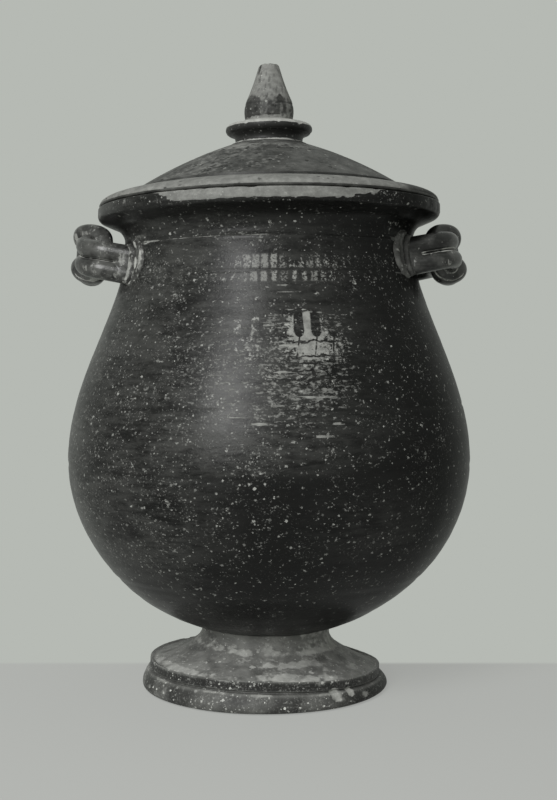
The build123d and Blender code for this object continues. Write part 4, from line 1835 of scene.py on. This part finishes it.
        gap = self.nearest_gap(loop, tube)
        crease = self.under_crease(loop, tube, ring)
        tube -= 0.0003 * crease[..., None] * ring
        pitch = girth[:, None] * 2.0 * math.pi / self.sides
        parting = np.hypot(np.gradient(gap, self.step, axis=0), np.gradient(gap, axis=1) / pitch)
        wide = 0.00030 if self.side is Side.LEFT else 0.00050
        line = bell(2.0 * wide, wide, gap) * smooth(0.35, 0.60, parting)
        if loop is Loop.REAR:
            line *= 1.0 - 0.8 * smooth(0.001, 0.005, tube[..., 2])
        marks = self.loop_marks(tube, gap, straight, np.maximum(line, crease))
        count = len(course)
        ids = np.arange(count * self.sides).reshape(count, self.sides)
        quads = np.stack(
            (ids[:-1], np.roll(ids[:-1], -1, axis=1), np.roll(ids[1:], -1, axis=1), ids[1:]), axis=-1
        )
        faces = [tuple(face) for face in quads.reshape(-1, 4).tolist()]
        faces += [tuple(ids[0].tolist()[::-1]), tuple(ids[-1].tolist())]
        points = lean.settle(self.sag(self.to_jar(tube.reshape(-1, 3))))
        return Skin(points, faces, {name: values.reshape(-1) for name, values in marks.items()})

    def nearest_gap(self, loop: Loop, tube: np.ndarray) -> np.ndarray:
        """Return how far each point of a loop lies from the next roll beside it.

        Args:
            loop: Which of the two loops.
            tube: Points of the loop's surface.

        Returns:
            Distance at each point, in metres.
        """
        gap = np.full(tube.shape[:2], 1.0)
        place = np.arange(len(tube))[:, None]
        for other in Loop:
            course = self.course(other)
            for index, (middle, radius) in enumerate(zip(course, self.girth(other, course))):
                reach = np.linalg.norm(tube - middle, axis=-1) - radius
                if other is loop:
                    reach = np.where(np.abs(place - index) * self.step > self.own_reach, reach, 1.0)
                gap = np.minimum(gap, reach)
        return gap

    def under_crease(self, loop: Loop, tube: np.ndarray, ring: np.ndarray) -> np.ndarray:
        """Return the crease under the rear loop's bend, where two strands were rolled in one.

        Args:
            loop: Which of the two loops.
            tube: Points of the loop's surface.
            ring: Directions from the middle line out to them.

        Returns:
            Share of the crease, one for each point.
        """
        if loop is Loop.FRONT:
            return np.zeros(tube.shape[:2])
        bend = smooth(-0.004, 0.002, -tube[..., 1])
        return bell(-0.66, 0.050, ring[..., 1]) * bend * smooth(0.0, 0.35, -ring[..., 2])

    def loop_marks(
        self, tube: np.ndarray, gap: np.ndarray, straight: np.ndarray, line: np.ndarray
    ) -> dict[str, np.ndarray]:
        """Paint a loop: pale lines along its creases, painted shade where the rolls touch, and grime in
        patches.

        Args:
            tube: Points of the loop's surface.
            gap: Distance of each point from the next roll.
            straight: Where the roll runs straight to its root.
            line: Share of the pale crease lines.

        Returns:
            The marks by name.
        """
        # Painted light: the lit left handle gets more rubbed and bared clay and more flecks than the right;
        # the dark mark lays painted shade where the rolls touch, and grime in patches.
        lit = 1.0 if self.side is Side.LEFT else 0.0
        coarse = grain(tube, 0.009, 2.0 + self.side.value)
        mottle = grain(tube, 0.0042, 5.0 + self.side.value)
        rooted = straight * (1.0 - smooth(0.002, 0.012, tube[..., 0]))
        patches = smooth(0.0, 0.5, coarse + 0.5 * mottle)
        grimy = smooth(0.15, 0.45, -coarse - 0.5 * mottle)
        return {
            "rub": limit(0.62 + 0.22 * lit + 0.5 * coarse + 0.3 * mottle, 1.1),
            "bare": limit(0.85 * line + (0.26 + 0.17 * lit) * patches + 0.06 * rooted),
            "fleck": np.full(gap.shape, 0.08 + 0.06 * lit),
            "dark": limit(1.0 - smooth(0.0001, 0.0005, gap) + 0.7 * grimy),
        }

    def leaf_edge(self, around: np.ndarray, rise: np.ndarray) -> np.ndarray:
        """Return how far a place lies outside the edge of the leaf-shaped plate.

        Args:
            around: Distance round the neck from the plate's middle.
            rise: Height above the root.

        Returns:
            Distance outside the edge, negative within it.
        """
        side_z = self.plate_top - self.plate_half_w
        height = side_z + self.plate_drop
        flank = (self.plate_half_w**2 + height**2) / (2.0 * self.plate_half_w)
        upper = np.hypot(around, rise - side_z) - self.plate_half_w
        lower = np.hypot(np.abs(around) + flank - self.plate_half_w, rise - side_z) - flank
        return np.where(rise > side_z, upper, lower)

    def plate_skin(self, loop: Loop, lean: Lean) -> Skin:
        """Press out one root plate with its bead and grooves.

        Args:
            loop: Loop whose root the plate holds.
            lean: Lean of the finished jar.

        Returns:
            The closed skin of the plate.
        """
        half_w = self.plate_half_w + self.plate_margin
        across = np.linspace(-half_w, half_w, round(2.0 * half_w / self.plate_step) + 1)
        low, high = -self.plate_drop - self.plate_margin, self.plate_top + self.plate_margin
        upward = np.linspace(low, high, round((high - low) / self.plate_step) + 1)
        around, rise = np.meshgrid(across, upward, indexing="ij")
        middle = math.asin(self.spread / self.jar.neck_r) + self.plate_shift / self.jar.neck_r
        turn = middle + around / self.jar.neck_r
        height = self.jar.neck_z - self.drop + rise
        radius = self.jar.radius_at(height.reshape(-1)).reshape(height.shape)
        wall = self.upon(radius, turn, height, loop)

        local = self.to_handle(wall)
        aside = local[..., 1] - loop.value * self.spread
        beyond = np.clip(np.abs(local[..., 2]) - self.strand, 0.0, None)
        off = np.hypot(aside, beyond) - self.root_roll_r
        edge = self.leaf_edge(around, rise)
        seed = 1.7 * self.side.value + 0.6 * loop.value
        ragged = edge + 0.0005 * grain(wall, 0.0035, seed)
        plate = 1.0 - smooth(-0.0015, 0.0003, ragged)
        bead = 1.0 - smooth(self.bead_t * 0.55, self.bead_t * 1.35, off)
        trench = bell(self.bead_t + self.groove_w / 2.0, self.groove_w * 0.46, off)
        outer = 0.5 * bell(self.bead_t + self.groove_w * 2.9, self.groove_w * 0.33, off)
        lump = 0.00032 * grain(wall, 0.0024, seed + 3.0)
        raised = self.plate_t * plate + (self.bead_out - self.plate_t) * bead * plate
        raised -= (self.plate_t - self.groove_floor) * trench * plate + 0.0006 * outer * plate
        raised += lump * plate - 0.0005 * (1.0 - plate)
        ridge = plate * (1.0 - limit(trench + outer)) * smooth(0.0006, 0.0014, raised)

        front = self.upon(radius + raised, turn, height, loop)
        back = self.upon(radius - self.plate_back, turn, height, loop)
        # Painted light: the lit left plates get more rubbed and bared clay than the right; the grooves round
        # the bead are darkened as painted shade.
        lit = 1.0 if self.side is Side.LEFT else 0.0
        worn = grain(wall, 0.0042, seed + 7.0) + 0.6 * grain(wall, 0.0016, seed + 9.0)
        brink = bell(-0.0006, 0.0005, ragged)
        bare = ridge * (0.36 + 0.26 * lit + 0.45 * worn - 0.10 * bead)
        marks = {
            "rub": limit(0.60 + 0.4 * lit + 0.4 * worn, 1.1),
            "bare": limit(bare + brink * (0.36 + 0.3 * worn)),
            "fleck": np.full(ridge.shape, 0.16),
            "dark": limit(0.9 * trench + 0.6 * outer) * plate,
        }
        return self.close_sheet(front, back, marks, lean)

    def upon(self, radius: np.ndarray, turn: np.ndarray, height: np.ndarray, loop: Loop) -> np.ndarray:
        """Return points of the right-hand side at a radius, a turn towards a root, and a height."""
        return np.stack((radius * np.cos(turn), loop.value * radius * np.sin(turn), height), axis=-1)

    def close_sheet(
        self, front: np.ndarray, back: np.ndarray, marks: dict[str, np.ndarray], lean: Lean
    ) -> Skin:
        """Join a front and a back sheet along their borders into a closed skin.

        Args:
            front: Points of the front sheet, in rows.
            back: Points of the back sheet, in the same rows.
            marks: Painted marks of the front sheet.
            lean: Lean of the finished jar.

        Returns:
            The closed skin.
        """
        rows, columns = front.shape[:2]
        shift = rows * columns
        ids = np.arange(shift).reshape(rows, columns)
        corners = (ids[:-1, :-1], ids[1:, :-1], ids[1:, 1:], ids[:-1, 1:])
        sheet = np.stack(corners, axis=-1).reshape(-1, 4)
        faces = sheet.tolist() + (sheet[:, [0, 3, 2, 1]] + shift).tolist()
        border = np.concatenate((ids[:-1, 0], ids[-1, :-1], ids[:0:-1, -1], ids[0, :0:-1])).tolist()
        for here, there in zip(border, border[1:] + border[:1]):
            faces.append([here, here + shift, there + shift, there])
        points = np.concatenate((front.reshape(-1, 3), back.reshape(-1, 3))) * self.mirror()
        doubled = {name: np.tile(values.reshape(-1), 2) for name, values in marks.items()}
        return Skin(lean.settle(self.sag(points)), [tuple(face) for face in faces], doubled)

    def build(self, lean: Lean) -> list[bpy.types.Object]:
        """Build and dress the two loops and the two plates.

        Args:
            lean: Lean of the finished jar.

        Returns:
            The dressed pieces.
        """
        word = self.side.name.lower()
        lit = self.side is Side.LEFT
        # Painted light: each side gets its own copy of the roll and plate finishes, set apart by how the
        # window lights it, the lit left rolls with paler faded slip.
        rolls = SlipFinish(
            f"handle_slip_{word}", sound=0.012, faded=0.112 if lit else 0.085, clay=0.38 if lit else 0.52,
            chalk=0.40, cloud_pitch=0.009, cloud_low=0.34, streak_pitch=0.005, streak_squash=1.3,
            fleck_pitch=0.0019, gloss=0.29, depth=0.00020, specular=0.42 if lit else 0.36,
        ).material()
        roots = SlipFinish(
            f"plate_slip_{word}", sound=0.034 if lit else 0.046, faded=0.125, clay=0.43 if lit else 0.32,
            chalk=0.42, cloud_pitch=0.007, streak_pitch=0.005, streak_squash=1.2, fleck_pitch=0.0021,
            gloss=0.46,
        ).material()
        pieces = []
        for loop in Loop:
            name = f"{word}_{loop.name.lower()}"
            skin = self.loop_skin(loop, lean)
            pieces.append(skin.piece(f"{name}_roll", "vessel", f"{name}_loop", "handle_slip", rolls))
            skin = self.plate_skin(loop, lean)
            pieces.append(skin.piece(f"{name}_leaf", "vessel", f"{name}_plate", "plate_slip", roots))
        return pieces


@dataclass
class Studio:
    """Pale table and backdrop, soft light and the camera."""

    eye: tuple[float, float, float] = (0.0, -0.673, 0.1694)
    axis_left: float = 9.5
    axis_up: float = 37.0
    focal_pixels: float = 1270.0
    frame_height: float = 800.0
    sensor: float = 36.0
    table_edge_y: float = 0.044
    table_tone: Tone = (0.424, 0.434, 0.416, 1.0)
    backdrop_tone: Tone = (0.468, 0.490, 0.456, 1.0)
    flat_share: float = 0.74
    table_lift: float = 1.66
    table_half: float = 30.0
    table_under: float = -0.0001
    table_blend: float = 0.004
    window_turn: float = math.radians(-23.5)
    window_rise: float = math.radians(30.0)
    window_away: float = 1.7
    window_size: tuple[float, float] = (0.58, 1.05)
    window_level: float = 2.7
    aim: tuple[float, float, float] = (0.0, 0.0, 0.15)
    ambient: float = 0.27

    def camera(self) -> None:
        """Set up a level camera at the photograph's eye point, shifted to its framing."""
        data = bpy.data.cameras.new("camera")
        data.lens = self.focal_pixels / self.frame_height * self.sensor
        data.sensor_width = self.sensor
        data.shift_x = self.axis_left / self.frame_height
        data.shift_y = -self.axis_up / self.frame_height
        camera = bpy.data.objects.new("camera", data)
        camera.location = self.eye
        camera.rotation_euler = (math.radians(90.0), 0.0, 0.0)
        bpy.context.scene.collection.objects.link(camera)
        bpy.context.scene.camera = camera

    def window(self) -> None:
        """Hang a tall soft window at the left."""
        lamp = bpy.data.lights.new("window", "AREA")
        lamp.shape = "RECTANGLE"
        lamp.size, lamp.size_y = self.window_size
        lamp.energy = math.pi * self.window_level * self.window_away**2
        level = math.cos(self.window_rise)
        along, across = math.sin(self.window_turn), math.cos(self.window_turn)
        towards = Vector((level * along, -level * across, math.sin(self.window_rise)))
        window = bpy.data.objects.new("window", lamp)
        window.location = Vector(self.aim) + towards * self.window_away
        window.rotation_euler = towards.to_track_quat("Z", "Y").to_euler()
        bpy.context.scene.collection.objects.link(window)

    def room(self) -> None:
        """Fill the room with even light and show the backdrop's tone to the eye."""
        world = bpy.data.worlds.new("room")
        world.use_nodes = True
        bpy.context.scene.world = world
        graph = Graph(world.node_tree)
        even = graph.add("ShaderNodeBackground", {"Color": grey(self.ambient)}).outputs[0]
        backdrop = graph.add("ShaderNodeBackground", {"Color": self.backdrop_tone}).outputs[0]
        shown = graph.add("ShaderNodeMixShader", {0: graph.seen(), 1: even, 2: backdrop}).outputs[0]
        graph.add("ShaderNodeOutputWorld", {"Surface": shown})

    def table(self) -> None:
        """Lay the pale table, which runs back into the backdrop."""
        half, under = self.table_half, self.table_under
        corners = [(-half, -half, under), (half, -half, under), (half, half, under), (-half, half, under)]
        mesh = bpy.data.meshes.new("table")
        mesh.from_pydata(corners, [], [(0, 1, 2, 3)])
        mesh.materials.append(self.table_material())
        table = bpy.data.objects.new("table", mesh)
        bpy.context.scene.collection.objects.link(table)

    def table_material(self) -> bpy.types.Material:
        """Build the table's matt finish, mostly flat to the eye and still taking shadow.

        Returns:
            The new material.
        """
        material, graph = blank("table")
        depth = graph.add("ShaderNodeSeparateXYZ", {0: graph.place}).outputs[1]
        behind = graph.fade(depth, self.table_edge_y - self.table_blend, self.table_edge_y + self.table_blend)
        tones = (self.table_tone, self.backdrop_tone)
        lifted = [tuple(min(1.0, self.table_lift * part) for part in tone) for tone in tones]
        matt = graph.add("ShaderNodeBsdfDiffuse", {"Color": graph.mix(behind, *lifted)}).outputs[0]
        glow = graph.add("ShaderNodeEmission", {"Color": graph.mix(behind, *tones)}).outputs[0]
        flat = graph.total(graph.product(behind, 1.0 - self.flat_share), self.flat_share)
        share = graph.product(graph.seen(), flat)
        shown = graph.add("ShaderNodeMixShader", {0: share, 1: matt, 2: glow}).outputs[0]
        graph.add("ShaderNodeOutputMaterial", {"Surface": shown})
        return material

    def build(self) -> None:
        """Set up the camera, the window, the room and the table."""
        bpy.context.scene.view_settings.view_transform = "Standard"
        self.camera()
        self.window()
        self.room()
        self.table()


def main() -> None:
    """Build the jar on its frame, piece by piece, and the studio round it."""
    logging.basicConfig(level=logging.INFO, format="%(message)s")
    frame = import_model()
    LOG.info("frame: %s", ", ".join(sorted(frame["nodes"])))
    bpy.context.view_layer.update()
    lean = Lean()
    jar = JarBody()
    jar.build(lean)
    Foot().build(lean)
    upright = Lean(crown_slope=0.0)
    for side in Side:
        KnotHandle(jar, side).build(upright)
    lid = Lid(jar.mouth_z, jar.neck_r - jar.wall, jar.rim_r)
    lid.build(lean)
    knob = Knob(lid.crown_z(), lid.crown_r)
    knob.build_reel(lean)
    knob.build_finial(lean)
    Studio().build()


if __name__ == "__main__":
    main()
